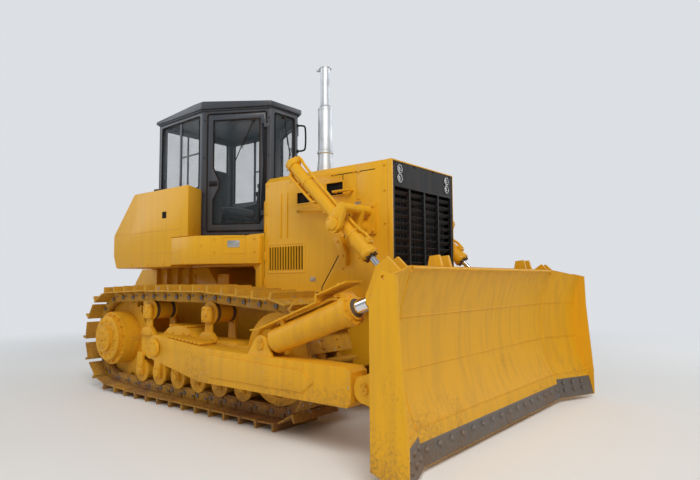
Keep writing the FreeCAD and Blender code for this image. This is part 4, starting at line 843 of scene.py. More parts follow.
STRUT = (on_strut(1, 0) - on_strut(0, 0)).normalized()
strut_long = math.dist(TILT_REAR, TILT_FRONT)
neck = strut_long - 0.235
hose_line = ((0.20, 0.122), (0.45, 0.125), (neck - 0.30, 0.123), (neck - 0.16, 0.135), (neck - 0.12, 0.10))
guard_spots = [on_strut(along, off, y - ARM_Y) for along, off in (
    (0.28, 0.133), (0.55, 0.133), (neck - 0.05, 0.193)) for y in (-0.075, 0.075)]
fasten("tilt_fittings", yellow_worked,
       bolts("gland_bolts", 0.013, ring_of(on_strut(neck - 0.026, 0), STRUT, 0.100, 8), STRUT),
       *[pipe("hose_pipe", [on_strut(*place, y - ARM_Y) for place in hose_line], 0.013)
         for y in (-0.03, 0.03)],
       bolts("guard_bolts", 0.012, guard_spots, (on_strut(0, 1) - on_strut(0, 0)).normalized()),
       body=BLADE)
fasten("tilt_gland", cast_dark, bar("gland", on_strut(neck - 0.02, 0), on_strut(neck + 0.004, 0), 0.080,
                                    0.070), body=BLADE)
fasten("brace_nuts", yellow_worked, *[
    bar("nut", on_strut(along, 0, ARM_Y), on_strut(along + 0.038, 0, ARM_Y), 0.075, sides=6, rounding=0.004)
    for along in (0.262, strut_long - 0.300)], body=BLADE)

# %% [markdown]
# ## Push arms
# The arms are boxes of thick plate, so long welds run along their corners, and a stiffening plate
# is welded over the middle. Treads for the driver's boots lie on the arm's top.

# %% Arm plates and welds
fasten_pair("arm_plate", yellow_worked, plate("arm_plate", [
    (2.30, 0.45), (3.42, 0.45), (3.52, 0.53), (3.42, 0.61), (2.30, 0.64), (2.20, 0.545)],
    on_side(-1.545), 0.012, 0.004), body=BLADE)
weld_line = [spot(x, -1.546, z) for x, z in (
    (2.30, 0.446), (3.42, 0.446), (3.524, 0.53), (3.42, 0.614), (2.30, 0.644), (2.196, 0.545))]
fasten_pair("arm_welds", yellow_worked, *weld([*weld_line, weld_line[0]], 0.006), body=BLADE)
fasten_pair("arm_treads", yellow_worked, *[
    block("tread", spot(1.62 + 0.06 * i, -1.54, 0.752 - 0.0044 * i),
          spot(1.65 + 0.06 * i, -1.36, 0.768 - 0.0044 * i), 0.003) for i in range(9)], body=BLADE)
print("cylinders, struts and arms done")

# %% [markdown]
# ## Hood and side panels
# The engine is under a hood of bent sheet. Its side doors are held by latches and hinges and have
# louvres: each slot gets a fin that leans outwards. Ribs stiffen the rear part, and screws run
# along the seams. Dark lines are the gaps between panels.

# %% Louvre fins
lean = Matrix.Rotation(math.radians(-28), 4, "Z") @ upright(FRONT, RIGHT, Vector())
fin_feet = [spot(1.978 + 0.039 * i, -0.562, 0) for i in range(13)]
fasten_pair("louvre_fins", yellow, *[
    plate("fin", corners(0, 1.405, 0.022, 1.635), Matrix.Translation(foot) @ lean, 0.003, 0)
    for foot in fin_feet])
fasten_pair("louvre_frame", yellow, plate("frame", soft_corners(1.955, 1.365, 2.515, 1.675, 0.03),
                                          on_side(-0.561), 0.006, 0.002, border=0.014))
fasten_pair("louvre_backing", shadow, plate("back", corners(1.98, 1.39, 2.49, 1.65), on_side(-0.545),
                                            -0.004, 0))

# %% Panel seams, ribs and vents
GAP_WIDE, GAP_PROUD = 0.007, 0.0015
SIDE_Y, TOP_Z = -0.563, 2.3945
HOOD_SIDE = on_side(SIDE_Y)
VENTS = ((2.40, 2.07, 2.58, 2.18), (2.80, 2.11, 3.01, 2.23))


def gap_lines(place, *lines):
    """Thin dark strips that stand for the open gap between two panels."""
    strips = []
    for start, end in [run for line in lines for run in zip(line, line[1:])]:
        start, end = Vector(start), Vector(end)
        along = (end - start).normalized() * GAP_WIDE / 2
        side = Vector((-along.y, along.x))
        outline = [start - along - side, end + along - side, end + along + side, start - along + side]
        strips.append(plate("strip", outline, place, GAP_PROUD, 0))
    return strips


def widened(rectangle, by):
    x0, y0, x1, y1 = rectangle
    return x0 - by, y0 - by, x1 + by, y1 + by


fasten_pair("panel_seams", shadow, *gap_lines(
    HOOD_SIDE, ((2.26, 1.158), (2.737, 1.158), (2.737, 1.222), (2.977, 1.56), (3.112, 1.98)),
    ((2.86, 2.304), (3.39, 2.304)), ((3.01, 2.30), (3.01, 2.24))))
fasten("hood_top_seams", shadow, *gap_lines(on_top(TOP_Z), ((3.168, -0.48), (3.168, 0.48)),
                                            ((2.55, -0.49), (2.55, 0.49))))
fasten_pair("hood_ribs", yellow, *[block("rib", spot(x, -0.572, 1.73), spot(x + 0.022, -0.560, 2.20), 0.005)
                                   for x in (2.152, 2.243)])
fasten_pair("vent_rims", yellow, *[plate("rim", soft_corners(*widened(vent, 0.014), 0.016), HOOD_SIDE,
                                         0.006, 0.002, border=0.014) for vent in VENTS])
fasten_pair("vent_backs", shadow, *[plate("back", corners(*widened(vent, 0.02)), on_side(-0.548), -0.003, 0)
                                    for vent in VENTS])
fasten_pair("panel_lip", yellow, block("lip", spot(1.93, -0.60, 1.142), spot(2.74, -0.55, 1.162), 0.004))

# %% Latches, hinges and screws
latch_parts = []
for x, z in ((3.191, 1.998), (2.62, 1.30)):
    latch_parts += [plate("cup", soft_corners(x - 0.035, z - 0.022, x + 0.035, z + 0.022, 0.008), HOOD_SIDE,
                          0.004, 0.001, border=0.007),
                    block("lever", spot(x - 0.022, SIDE_Y - 0.010, z - 0.008),
                          spot(x + 0.024, SIDE_Y, z + 0.008), 0.003)]
fasten_pair("panel_latches", zinc, *latch_parts)
fasten_pair("panel_hinges", yellow, *[disc("hinge", spot(1.928, -0.567, z), UP, 0, 0.09, 0.009, sides=14)
                                      for z in (1.22, 1.50, 1.80)])
ROWS = {2.005: (1.95, 2.25, 2.53, 2.75, 3.0), 2.31: (1.95, 2.3, 2.6, 2.9, 3.14),
        1.175: (1.97, 2.2, 2.45, 2.68)}
COLUMNS = {3.0: (1.2, 1.4), 3.2: (1.25, 1.5, 2.05, 2.3), 3.5: (1.2, 1.5, 1.8, 2.1, 2.33)}
screws = [spot(x, SIDE_Y, z) for z, row in ROWS.items() for x in row]
screws += [spot(x, SIDE_Y, z) for x, column in COLUMNS.items() for z in column]
fasten_pair("hood_screws", yellow, bolts("screws", 0.010, screws, RIGHT))
print("hood:", len(fin_feet), "fins,", len(screws), "screws a side")

# %% [markdown]
# ## Radiator front
# The black front is a heavy plate with a louvred opening, set into a yellow border that is the
# edge of the hood. Behind the slats is the radiator's core, which is only a dark shade from
# outside. Each lamp sits in a bright ring, and bolts hold the plate all round.

# %% Radiator front
FRONT_X = 3.571
BORDER_X, BORDER_FRONT, BORDER_LOW = 3.534, 3.5765, 1.141
fasten("radiator_core", shadow, plate("core", corners(-0.55, 1.15, 0.55, 2.20), on_front(3.47), 0.012, 0), *[
    block("liner", spot(3.47, y - 0.0045, 1.15), spot(3.535, y + 0.0045, 2.20), 0)
    for y in (-0.5425, 0.5425)])
fasten("radiator_tubes", plastic, *[
    disc("tube", spot(3.484, y / 1000, 1.19), UP, 0, 0.95, 0.006, sides=6, rounding=0)
    for y in range(-500, 501, 50)])
fasten("front_lip", yellow, block("lip", spot(3.50, -0.560, BORDER_LOW),
                                  spot(BORDER_FRONT, 0.560, 1.158), 0.004))
fasten("front_border", yellow,
       *[block("edge", spot(BORDER_X, y0, BORDER_LOW), spot(BORDER_FRONT, y1, 2.3775), 0.003)
         for y0, y1 in ((-0.57, -0.543), (0.557, 0.556))],
       block("edge", spot(BORDER_X, -0.556, 2.366), spot(BORDER_FRONT, 0.556, 2.3785), 0.003))
fasten("band_step", black_paint, block("step", spot(3.560, -0.549, 2.131), spot(3.5735, 0.549, 2.143),
                                       0.002))
front_bolts = [spot(FRONT_X - 0.004, y, z) for y in (-0.530, 0.530) for z in (1.20, 1.45, 1.70, 1.95)]
front_bolts += [spot(FRONT_X - 0.004, y, 2.352) for y in (-0.5, -0.17, 0.17, 0.5)]
fasten("front_bolts", black_paint, copies(stub(-0.003, 0.009, 0.014, 0.009), "domes",
                                          [facing(point, FRONT) for point in front_bolts]))
fasten("lamp_rings", zinc, *[plate("ring", oval(y, z, 0.041, 0.041, 28), on_front(FRONT_X - 0.002), 0.008,
                                   0.002, border=0.008) for y in (-0.43, 0.43) for z in (2.215, 2.300)])
fasten("front_latches", black_paint,
       *[block("hinge", spot(3.45, 0.560, z), spot(3.56, 0.590, z + 0.045), 0.005) for z in (2.24, 2.315)],
       block("latch_arm", spot(3.475, 0.560, 1.985), spot(3.50, 0.640, 2.005), 0.004),
       block("latch_box", spot(3.46, 0.615, 1.955), spot(3.515, 0.665, 2.035), 0.008))
fasten("front_seam", shadow, *[
    block("gap", spot(3.5305, y - 0.0012, 1.15), spot(3.5345, y + 0.0012, 2.37), 0)
    for y in (-0.5625, 0.5625)])
cap_foot = spot(3.34, 0.0, 2.376)
fasten("radiator_cap", cast_dark, disc("neck", cap_foot, UP, 0, 0.016, 0.045),
       disc("cap", cap_foot, UP, 0.014, 0.036, 0.052, 0.047, sides=16))

# %% [markdown]
# ## Exhaust stack
# The silencer is the wide part of the stack. Clamps hold it to its foot and to the tail pipe, and
# a hinged lid keeps the rain out. The lid lies a little to one side of the pipe's middle.

# %% Exhaust stack
STACK = (2.097, 0.217)


def by_stack(x, y, z):
    """A point by its place in front of the stack's middle and to the left of it."""
    return spot(STACK[0] + x, STACK[1] + y, z)


for name, z, radius in (("stack_base", 2.396, 0.116), ("stack_clamp_top", 3.290, 0.0875)):
    fasten(name, stack_steel, disc("collar", by_stack(0, 0, z), UP, 0, 0.016, radius))
fasten("base_bolts", zinc, bolts("bolts", 0.011, ring_of(by_stack(0, 0, 2.411), UP, 0.099, 6), UP))
fasten("rain_cap", stack_steel,
       disc("lid", by_stack(-0.004, 0.012, 3.802), UP, 0, 0.0065, 0.076, rounding=0.001),
       disc("hinge", by_stack(-0.075, -0.028, 3.803), LEFT, 0, 0.073, 0.009, sides=12),
       block("strap", by_stack(-0.08, -0.012, 3.8075), by_stack(0.03, 0.012, 3.8135), 0.002),
       block("weight", by_stack(-0.13, -0.020, 3.79), by_stack(-0.08, 0.024, 3.809), 0.005))
print("front bolts:", len(front_bolts))

# %% [markdown]
# ## Tank, fenders and lamps
# The fuel tank stands behind the cab and comes round its sides. Its sheet is folded, with a filler
# in the top, welds and bolts along its sides and a small recess in the right one. Each fender has
# a latched lid and the anti-slip strips that the driver climbs over.

# %% Tank
filler = spot(0.30, -0.82, 2.355)
fasten("tank_cap", black_paint, disc("neck", filler, UP, 0, 0.020, 0.065),
       disc("cap", filler, UP, 0.017, 0.053, 0.075, 0.070, sides=18))
fasten("tank_recess_edge", yellow, plate("edge", soft_corners(0.635, 2.005, 0.740, 2.100, 0.012),
                                         on_side(-1.0), 0.0015, 0, border=0.009))
fasten("tank_recess", shadow, plate("recess", corners(0.643, 2.013, 0.732, 2.092), on_side(-1.0), 0.0006, 0))
tank_welds = [weld([spot(x, -1.0005, z), spot(0.99, -1.0005, z)], 0.0035)[0]
              for x, z in ((-0.40, 1.876), (-0.08, 1.618))]
fasten_pair("tank_welds", yellow, *tank_welds)
fasten_pair("tank_bolts", yellow, bolts("bolts", 0.014, [spot(x, -0.998, 1.49)
                                                         for x in (0.0, 0.35, 0.70, 1.05)], RIGHT))

# %% Rear lamps
LAMP_Y, LAMP_X = (-0.62, 0.62), -0.4495
fasten("tail_lamps", black_paint, *[
    block("housing", spot(LAMP_X, y - 0.08, 2.15), spot(-0.36, y + 0.08, 2.27), 0.012) for y in LAMP_Y])
fasten("tail_glasses", red_lens, *[
    plate("glass", oval(y + dy, 2.21, 0.030, 0.042, 24), on_rear(LAMP_X), 0.0055, 0.003)
    for y in LAMP_Y for dy in (-0.037, 0.037)])

# %% Fender lid, latch and grip strips
FENDER = on_wall((1.9, -0.631), (1.297, -1.0))
fender_spots = [FENDER @ Vector((u, z, 0)) for u, z in (
    (0.05, 1.74), (0.05, 1.60), (0.50, 1.74), (0.50, 1.60), (0.65, 1.67))]
fasten_pair("fender_lid", yellow, plate("lid", soft_corners(0.140, 1.582, 0.405, 1.762, 0.012), FENDER,
                                        0.0035, 0.001, border=0.007))
fasten_pair("fender_latch", zinc,
            plate("latch", soft_corners(0.215, 1.648, 0.350, 1.722, 0.012), FENDER, 0.004, 0.0015),
            plate("grip", soft_corners(0.235, 1.668, 0.330, 1.702, 0.010), FENDER, 0.011, 0.003))
fasten_pair("fender_bolts", yellow, bolts("bolts", 0.010, fender_spots, FENDER.to_3x3() @ UP))
GRIPS, GRIP_PITCH = 13, 0.05
fasten_pair("grip_strips", rubber, *[
    block("grip", spot(1.16 + GRIP_PITCH * i, -0.66, 1.779),
          spot(1.185 + GRIP_PITCH * i, -0.72 - 0.02 * (12 - i), 1.786), 0.002) for i in range(GRIPS)])
print("tank and fenders done")

# %% [markdown]
# ## Cab: seals, rails and wipers
# Panes are held by black rubber seals that stand a little proud of the paint. The door's seal goes
# with the door, and the one round the doorway stays on the cab. The rear side window slides, so it
# has a divider. A rail on the left front pillar helps the driver in.

# %% Doorway and window seals
DOOR_WALL = on_wall((1.64, -0.22), (0.90, -0.64))
SIDE_WALL = on_wall((0.90, -0.64), (-0.08, -0.60))
REAR_WALL = on_rear(-0.08)
PANE = [(0.135, 1.95), (0.7159, 1.95), (0.7159, 2.25), (0.6409, 2.40), (0.6409, 2.47), (0.7159, 2.62),
        (0.7159, 3.20), (0.135, 3.20)]


def lifted(place, height):
    return place @ Matrix.Translation((0, 0, height))


def seal(outline, place, border=0.018, low=-0.012, thick=0.016):
    return plate("seal", outline, lifted(place, low), thick, 0.003, border=border)


def grown(outline, amount):
    """The same outline with each corner moved away from the middle."""
    middle = [(min(values) + max(values)) / 2 for values in zip(*outline)]
    return [[value + math.copysign(amount, value - mid) for value, mid in zip(point, middle)]
            for point in outline]


fasten_pair("doorway_seal", rubber, seal(soft_corners(0.052, 1.857, 0.799, 3.283, 0.03), DOOR_WALL,
                                         border=0.013, low=-0.004, thick=0.009))
fasten_pair("pane_seal", rubber, seal(grown(PANE, 0.004), DOOR_WALL, border=0.016), body="door_r")
fasten_pair("side_seal", rubber, seal(soft_corners(0.058, 2.392, 0.922, 3.278, 0.03), SIDE_WALL))
fasten_pair("window_divider", cab_paint,
            plate("divider", corners(0.468, 2.40, 0.502, 3.27), lifted(SIDE_WALL, -0.022), 0.018, 0.003),
            plate("slider", corners(0.070, 2.815, 0.480, 2.835), lifted(SIDE_WALL, -0.020), 0.010, 0.002))
fasten("front_seal", rubber, seal(soft_corners(-0.172, 2.272, 0.172, 3.278, 0.03), on_front(1.64)))
fasten("rear_seal", rubber, seal(soft_corners(-0.512, 2.392, 0.512, 3.278, 0.03), REAR_WALL))
fasten("rear_guard_bars", cab_paint, *[
    plate("bar", corners(y - 0.012, 2.40, y + 0.012, 3.27), lifted(REAR_WALL, -0.018), 0.012, 0.003)
    for y in (-0.17, 0.17)])

# %% Door handle, rail, wipers and gutter
fasten_pair("door_handle", plastic,
            plate("plate", soft_corners(0.652, 2.405, 0.765, 2.468, 0.014), DOOR_WALL, 0.006, 0.002),
            plate("lever", soft_corners(0.664, 2.424, 0.752, 2.449, 0.010), lifted(DOOR_WALL, 0.016), 0.012,
                  0.004),
            plate("stub", corners(0.672, 2.427, 0.692, 2.446), lifted(DOOR_WALL, 0.004), 0.014, 0.002),
            body="door_r")
rail = pipe("rail", [spot(1.63, 0.222, 3.195), spot(1.70, 0.262, 3.195), spot(1.722, 0.276, 3.165),
                     spot(1.722, 0.276, 2.91), spot(1.70, 0.262, 2.875), spot(1.63, 0.222, 2.875)], 0.011)
fasten("pillar_rail", black_paint, rail, *[
    bar("foot", spot(1.628, 0.222, z), spot(1.641, 0.227, z), 0.024, sides=16) for z in (2.875, 3.195)])


def wiper(place, pivot, tip):
    """An arm from its pivot to the middle of a blade that lies on the pane."""
    pivot, tip = Vector((*pivot, 0)), Vector((*tip, 0))
    run, out = tip - pivot, Vector((0, 0, 1))
    middle = tip + 0.006 * out + 0.02 * Vector((-run.y, run.x, 0)).normalized()
    return (bar("arm", place @ (pivot + 0.030 * out), place @ (tip + 0.012 * out), 0.006, 0.004, 8, 0),
            bar("hub", place @ (pivot - 0.004 * out), place @ (pivot + 0.036 * out), 0.016, sides=14),
            bar("blade", place @ (middle - run * 0.42), place @ (middle + run * 0.42), 0.006, None, 8, 0))


fasten_pair("door_wiper", black_paint, *wiper(lifted(DOOR_WALL, -0.014), (0.22, 3.17), (0.36, 2.84)),
            body="door_r")
fasten("front_wiper", black_paint, *wiper(on_front(1.627), (-0.02, 3.24), (0.05, 2.92)))
fasten_pair("roof_gutter", cab_paint, *[
    bar("gutter", wall @ Vector((0.0, 3.322, 0.010)), wall @ Vector((long, 3.322, 0.010)), 0.011, sides=10)
    for wall, long in ((DOOR_WALL, 0.85), (SIDE_WALL, 0.975))])
cab_screws = [(SIDE_WALL, u, 2.36) for u in (0.08, 0.30, 0.52, 0.74, 0.92)]
cab_screws += [(DOOR_WALL, u, z) for u in (0.028, 0.825) for z in (1.90, 2.30, 2.75, 3.20)]
fasten_pair("cab_screws", black_paint, copies(stub(-0.002, 0.005, 0.011, 0.006), "domes", [
    wall @ Matrix.Translation((u, z, 0)) for wall, u, z in cab_screws]))
fasten("roof_ribs", cab_paint, *[
    block("rib", spot(0.10, y - 0.02, 3.375), spot(0.70, y + 0.02, 3.398), 0.006)
    for y in (-0.36, -0.12, 0.12, 0.36)])
print("cab outside done")

# %% [markdown]
# ## Seat and controls
# The seat is the only soft thing. Its solid stays for the simulation, and two crowned cushions and
# a sprung foot stand for it. Its solid stays, hidden, and two crowned cushions and a sprung foot
# stand for it. A cushion is a box whose middle swells while its corners hold back, smoothed by
# subdivision, with sewn channels across it. No cloth is simulated.

# %% Cushions


def cushion(name, low, high, axis, swell=0.34):
    """A crowned pad between two corners; axis is the direction in which it swells."""
    begin()
    bpy.ops.mesh.primitive_cube_add(size=2)
    bpy.ops.object.mode_set(mode="EDIT")
    bpy.ops.mesh.select_all(action="SELECT")
    bpy.ops.mesh.subdivide(number_cuts=7)
    bpy.ops.object.mode_set(mode="OBJECT")
    piece = bpy.context.object
    middle, half = (low + high) / 2, (high - low) / 2
    for vertex in piece.data.vertices:
        co = vertex.co
        flat = [abs(co[i]) for i in range(3) if i != axis]
        crown = (1 - flat[0] ** 2) * (1 - flat[1] ** 2)
        channel = 0.06 * math.exp(-(((co[1] if axis != 1 else co[0]) % 0.66 - 0.33) / 0.07) ** 2)
        pull = 1 - 0.10 * abs(co[axis]) ** 3 - 0.05 * (flat[0] * flat[1]) ** 2
        out = [co[i] * pull for i in range(3)]
        out[axis] = co[axis] * (0.66 + swell * crown - channel * (abs(co[axis]) > 0.9))
        vertex.co = middle + Vector([out[i] * half[i] for i in range(3)])
    add_modifier(piece, "SUBSURF", levels=2, render_levels=2)
    bpy.ops.object.modifier_apply(modifier="subsurf")
    smooth(settle(name), 80)
    return piece


def seat_piece(name, finish, *forms):
    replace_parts(fasten(name, finish, *forms), "seat")


for name, low, high, axis, fill in (
        ("seat_cushion", spot(0.36, -0.235, 2.10), spot(0.855, 0.235, 2.245), 2, 0.7),
        ("seat_back", spot(0.235, -0.225, 2.20), spot(0.375, 0.225, 2.775), 0, 0.6)):
    seat_piece(name, seat_cloth, cushion(name, low, high, axis))
folds = [(i, 0.008 * (i % 2)) for i in range(7)]
seat_piece("seat_bellows", rubber, *[
    plate("fold", corners(0.42 + inset, -0.17 + inset, 0.76 - inset, 0.17 - inset), on_top(1.86 + 0.034 * i),
          0.032, 0.006) for i, inset in folds])
seat_piece("seat_frame", black_paint,
           block("pan", spot(0.38, -0.20, 2.085), spot(0.80, 0.20, 2.112), 0.006),
           block("shell", spot(0.222, -0.20, 2.16), spot(0.252, 0.20, 2.72), 0.008),
           block("rail", spot(0.35, -0.19, 1.831), spot(0.82, 0.19, 1.862), 0.006))

# %% Levers, pads, pedals and gauges
controls = []
for x, y, lean in ((0.74, -0.345, 0.03), (0.66, -0.345, -0.02), (0.74, 0.345, 0.03)):
    controls += [bar("lever", spot(x, y, 2.24), spot(x + lean, y, 2.42), 0.008, sides=10, rounding=0),
                 bar("knob", spot(x + lean, y, 2.41), spot(x + lean * 1.2, y, 2.475), 0.021, 0.026, 18,
                     0.009),
                 bar("boot", spot(x, y, 2.225), spot(x + lean / 4, y, 2.275), 0.045, 0.014, 18, 0.004)]
for y in (-0.16, 0.16):
    controls += [block("pedal", spot(1.17, y - 0.045, 1.90), spot(1.205, y + 0.045, 2.01), 0.008),
                 bar("arm", spot(1.19, y, 1.95), spot(1.32, y, 2.06), 0.010, sides=10, rounding=0)]
fasten("levers", plastic, *controls)
gauges = []
for y, z, radius in ((-0.09, 2.44, 0.030), (0.0, 2.44, 0.036), (0.09, 2.44, 0.030), (-0.05, 2.36, 0.022),
                     (0.05, 2.36, 0.022)):
    gauges += [plate("rim", oval(y, z, radius, radius, 28), on_rear(1.29), 0.007, 0.002, border=0.005),
               plate("face", oval(y, z, radius - 0.004, radius - 0.004, 28), on_rear(1.29), 0.002, 0)]
fasten("gauges", zinc, *gauges)
print("seat and controls done")

# %% [markdown]
# ## Track chain
# The chain under the shoes is a row of forged links on pins. The solid has a plain band there, so
# each shoe gets a link plate with a pin boss on the band's outer face, and four bolts that hold
# the shoe. Their places come from the chain's pitch line, a belt round the wheels.

# %% Pitch line of the chain
GAUGE, BAND_Y = 1.0, 1.12
WHEELS = ((0.0, 0.625, 0.468), (0.672, 0.969, 0.1503), (1.747, 0.969, 0.1503), (2.710, 0.594, 0.462),
          (2.260, 0.2873, 0.1553), (0.525, 0.2873, 0.1553))
leave = []
for (x0, z0, r0), (x1, z1, r1) in zip(WHEELS, WHEELS[1:] + WHEELS[:1]):
    leave.append(math.atan2(z1 - z0, x1 - x0) + math.acos((r0 - r1) / math.hypot(x1 - x0, z1 - z0)))
stretches = []
for i, (x0, z0, r0) in enumerate(WHEELS):
    x1, z1, r1 = WHEELS[(i + 1) % len(WHEELS)]
    sweep = (leave[i - 1] - leave[i]) % (2 * math.pi)
    stretches.append((r0 * sweep, (x0, z0, r0), leave[i - 1], None))
    start = Vector((x0 + r0 * math.cos(leave[i]), z0 + r0 * math.sin(leave[i])))
    end = Vector((x1 + r1 * math.cos(leave[i]), z1 + r1 * math.sin(leave[i])))
    stretches.append(((end - start).length, start, leave[i], end))
chain_long = sum(stretch[0] for stretch in stretches)
shoe_count = round(chain_long / 0.219)


def on_chain(distance):
    """A place on the pitch line: across runs along the chain and up points out of it."""
    distance %= chain_long
    for length, start, angle, end in stretches:
        if distance <= length:
            break
        distance -= length
    if end is None:
        angle -= distance / start[2]
        x, z = start[0] + start[2] * math.cos(angle), start[1] + start[2] * math.sin(angle)
    else:
        x, z = start.lerp(end, distance / length)
    out = Vector((math.cos(angle), 0, math.sin(angle)))
    place = Matrix((Vector((out.z, 0, -out.x)), out, RIGHT)).transposed().to_4x4()
    place.translation = spot(x, 0, z)
    return place


shoe_places = [on_chain(chain_long * (i + 0.5) / shoe_count) for i in range(shoe_count)]
print("chain", round(chain_long, 2), "m,", shoe_count, "shoes")

# %% Links, pins and shoe bolts
link = plate("link", [(-0.100, -0.034), (-0.040, -0.040), (0.030, -0.036), (0.092, -0.036), (0.103, 0.0),
                      (0.085, 0.030), (0.030, 0.052), (-0.090, 0.052), (-0.072, 0.012), (-0.112, 0.0)],
             Matrix.Identity(4), 0.012, 0.003)
band_places = [place @ Matrix.Translation((0, 0, BAND_Y)) for place in shoe_places]
fasten_pair("track_links", track_steel, copies(link, "links", band_places))
pin = disc("pin", Vector((0.078, 0, 0)), UP, 0.008, 0.019, 0.026, 0.023, 16, 0)
hole = disc("hole", Vector((-0.060, 0.018, 0)), UP, 0.010, 0.0125, 0.016, None, 10, 0)
fasten_pair("track_pins", cutting_steel, copies(joined("pin", [pin, hole]), "pins", band_places))
turned = Matrix.Rotation(math.radians(-90), 4, "X")
bolt_places = [place @ Matrix.Translation((along, 0.0715, GAUGE + across)) @ turned
               for place in shoe_places for along in (-0.01, 0.06) for across in (-0.098, 0.098)]
fasten_pair("shoe_bolts", track_steel, copies(stub(0, 0.013, 0.017, 0.015, 6), "nuts", bolt_places))

# %% [markdown]
# ## Final drive, rollers and idler
# The final drive ends in a bolted cover with a boss. Bottom rollers hang in bolted collars, the two
# top rollers stand on posts with cast heads, and the idler slides in a fork behind a bolted guard.
# A folded plate covers the spring that keeps the chain tight.

# %% Final drive
drive = spot(0.0, 0, 0.625)
drive_parts = [disc("cover", drive, RIGHT, 1.285, 1.302, 0.262, 0.246, 48, 0.004),
               disc("boss", drive, RIGHT, 1.340, 1.356, 0.118, 0.104, 36, 0.004),
               disc("plug", drive, RIGHT, 1.352, 1.368, 0.034, 0.030, 6)]
for radius, out, circle, count, turn in ((0.015, 1.3005, 0.205, 12, 0.0), (0.012, 1.3555, 0.078, 6, 0.0),
                                         (0.016, 1.2345, 0.278, 16, 0.2)):
    places = ring_of(drive + out * RIGHT, RIGHT, circle, count, turn)
    drive_parts.append(bolts("drive_bolts", radius, places, RIGHT))
fasten_pair("final_drive_cover", yellow_worked, *drive_parts)

# %% Rollers, posts and springs
CARRIER_X = (0.672, 1.747)


def around(x, half_outline):
    """An outline alike on both sides of x, from its right half counted from the bottom up."""
    right = [(x + reach, z) for reach, z in half_outline]
    left = [(x - reach, z) for reach, z in half_outline]
    return [left[0], *right, *left[:0:-1]]


parts = []
for x in [0.525 + 0.347 * i for i in range(6)]:
    parts += [disc("collar", spot(x, 0, 0.2873), RIGHT, 1.174, 1.190, 0.046, 0.038, 24),
              bolts("bolts", 0.011, [spot(x + dx, -1.1765, 0.345) for dx in (-0.034, 0.034)], RIGHT)]
for x in CARRIER_X:
    head_spots = [spot(x + dx, -1.192, z) for dx in (-0.046, 0.046) for z in (0.905, 1.008)]
    parts += [plate("head", around(x, ((0.072, 0.875), (0.080, 0.96), (0.060, 1.035))), on_side(-1.158),
                    0.034, 0.008),
              disc("shaft_end", spot(x, 0, 0.965), RIGHT, 1.188, 1.200, 0.034, 0.028, 20),
              bolts("bolts", 0.010, head_spots, RIGHT),
              plate("foot", around(x, ((0.135, 0.690), (0.120, 0.735), (0.070, 0.780))), on_side(-1.132),
                    0.052, 0.008),
              bolts("bolts", 0.012, [spot(x + dx, -1.184, 0.716) for dx in (-0.095, 0.095)], RIGHT)]
fasten_pair("roller_caps", yellow_worked, *parts)
fasten_pair("carrier_treads", cast_dark, *[
    disc("tread", spot(x, -y, 0.969), RIGHT, 0, 0.042, 0.1012, sides=64, rounding=0)
    for x in CARRIER_X for y in (0.881, 1.077)])
fold = [(0.90, 0.700), (1.02, 0.790), (1.14, 0.815), (1.26, 0.815), (1.38, 0.790), (1.50, 0.700)]
fasten_pair("spring_cover", yellow_worked, plate("cover", fold, on_side(-0.862), 0.276, 0.010), *[
    plate("rib", corners(x - 0.014, 0.80, x + 0.014, 0.825), on_side(-0.860), 0.280, 0.004)
    for x in (1.06, 1.34)],
    bolts("bolts", 0.013, [spot(x, -1.138, 0.735) for x in (0.985, 1.11, 1.29, 1.415)], RIGHT))
guard_spots = [spot(x, -1.178, z) for x in (2.47, 2.60, 2.73) for z in (0.555, 0.635)]
fasten_pair("idler_guard", yellow_worked,
            plate("guard", [(2.40, 0.515), (2.84, 0.520), (2.865, 0.545), (2.865, 0.645), (2.74, 0.672),
                            (2.40, 0.672)], on_side(-1.162), 0.016, 0.004),
            bolts("bolts", 0.014, guard_spots, RIGHT),
            block("ledge", spot(2.42, -1.235, 0.498), spot(2.875, -1.165, 0.514), 0.004),
            disc("boss", spot(2.710, 0, 0.594), RIGHT, 1.150, 1.190, 0.052, 0.044))
print("running gear done")

# %% [markdown]
# ## Hull and bracket
# Under the cab the hull shows through the gap above the track, with bolted covers between its
# ribs. Two bolts hold the side guard, and a pointed bracket under the lift cylinder stops hoses
# and stones.

# %% Hull covers and bracket
COVER_X = (0.42, 1.05)
covers = [plate("cover", soft_corners(x, 1.20, x + 0.20, 1.37, 0.02), on_side(-0.5), 0.010, 0.003)
          for x in COVER_X]
for x in COVER_X:
    places = [spot(x + dx, -0.5105, z) for dx in (0.03, 0.17) for z in (1.225, 1.345)]
    covers.append(bolts("bolts", 0.011, places, RIGHT))
fasten_pair("hull_covers", yellow, *covers)
fasten_pair("hose_bracket", yellow, plate("bracket", [
    (2.935, 1.700), (3.015, 1.700), (3.085, 1.530), (3.075, 1.420), (2.995, 1.520)], on_side(-0.562),
    0.055, 0.006), bolts("bolts", 0.012, [spot(2.985, -0.617, 1.655), spot(3.045, -0.617, 1.515)], RIGHT))
fasten_pair("side_bolts", cast_dark, bolts("bolts", 0.015, [spot(x, -0.566, 1.160)
                                                            for x in (2.585, 2.679)], RIGHT))
fasten("drawbar_fittings", cast_dark, disc("pin", spot(-0.885, 0, 0.728), UP, 0, 0.020, 0.042, 0.036),
       bolts("bolts", 0.016, [spot(-0.782, y, z) for y in (-0.20, 0.20) for z in (0.56, 0.73)], REAR))
print("hull done")

# %% [markdown]
# ## Floor, light and camera
# A pale sweep stands in for a photo studio. Its floor keeps the object's shadow. One large soft
# lamp behind the photographer plays the sun, and two weaker ones fill the shade. The camera stands
# where the photographer stood, on the machine's right, in front of it and low.

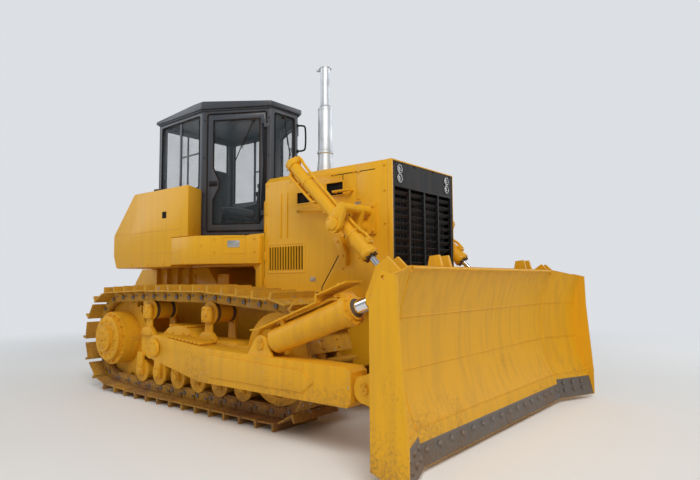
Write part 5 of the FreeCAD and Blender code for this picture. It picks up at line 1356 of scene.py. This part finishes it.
# %% Floor and backdrop
BACKDROP = (0.72, 0.74, 0.77, 1)
begin()
bpy.ops.mesh.primitive_plane_add(size=90, location=(0, 0, 0))
bpy.ops.object.mode_set(mode="EDIT")
bpy.ops.mesh.subdivide(number_cuts=3)
bpy.ops.object.mode_set(mode="OBJECT")
floor = settle("studio_floor")
pale, tree, shader = new_finish("studio_white", 0.0, Roughness=0.9, Specular_IOR_Level=0.1)
feed(tree, shader["Base Color"], between(tree, noise(tree, 0.6, 2.0), (0.88, 0.88, 0.87, 1),
                                         (0.91, 0.91, 0.90, 1)))


def camera_ray(tree):
    return shader_node(tree, "LightPath").outputs["Is Camera Ray"]


def blend(tree, share, first, second, output):
    """Mixes two shaders by a share and sends the mixture to the output."""
    fade = tree.nodes.new("ShaderNodeMixShader")
    for socket, value in zip(fade.inputs, (share, first.outputs[0], second.outputs[0])):
        feed(tree, socket, value)
    feed(tree, output.inputs["Surface"], fade.outputs[0])


away = shader_node(tree, "VectorMath", {"operation": "LENGTH"})
feed(tree, away.inputs[0], positions(tree))
far = times(tree, ramp(tree, away.outputs["Value"], 5.0, 11.0), camera_ray(tree))
blend(tree, far, tree.nodes["Principled BSDF"], shader_node(tree, "Emission", Color=BACKDROP),
      tree.nodes["Material Output"])
floor.data.materials.append(pale)

world = bpy.data.worlds.new("studio_air")
bpy.context.scene.world = world
world.use_nodes = True
air = world.node_tree
air.nodes.clear()
blend(air, camera_ray(air), shader_node(air, "Background", Color=(0.93, 0.96, 1.0, 1), Strength=0.36),
      shader_node(air, "Background", Color=BACKDROP), shader_node(air, "OutputWorld"))

# %% Lamps


def lamp(name, size, power, place, aim, colour):
    """A square soft lamp at a place, turned to a point of the machine."""
    bpy.ops.object.light_add(type="AREA", location=place)
    made = bpy.context.object
    made.name = name
    made.data.size, made.data.energy, made.data.color = size, power, colour
    made.rotation_euler = (Vector(aim) - Vector(place)).to_track_quat("-Z", "Y").to_euler()


lamp("sun_side", 5.0, 780, (7.5, -7.0, 9.5), (0.3, 0, 1.4), (1.0, 0.96, 0.90))
lamp("fill_rear", 7.0, 270, (-9, -6, 6), (0, 0, 1.4), (0.92, 0.96, 1.0))
lamp("fill_left", 7.0, 290, (5, 9, 6), (0, 0, 1.6), (0.94, 0.97, 1.0))
print("lamps:", len(bpy.data.lights))

# %% Camera
bpy.ops.object.camera_add(location=(4.564, -4.613, 1.288))
camera = bpy.context.object
camera.name = "photo_camera"
right, up, back = ((0.77747267, 0.62889206, -0.00557039), (0.04981063, -0.05274465, 0.99736498),
                   (0.62694111, -0.77570148, -0.07233303))
turn = Matrix((right, up, back)).transposed().to_4x4()
camera.matrix_world = Matrix.Translation(camera.location) @ turn
camera.data.sensor_width, camera.data.lens = 36, 28.546
camera.data.clip_end = 200
bpy.context.scene.camera = camera
bpy.context.scene.view_settings.view_transform = "Standard"
print("camera lens", round(camera.data.lens, 2), "mm")
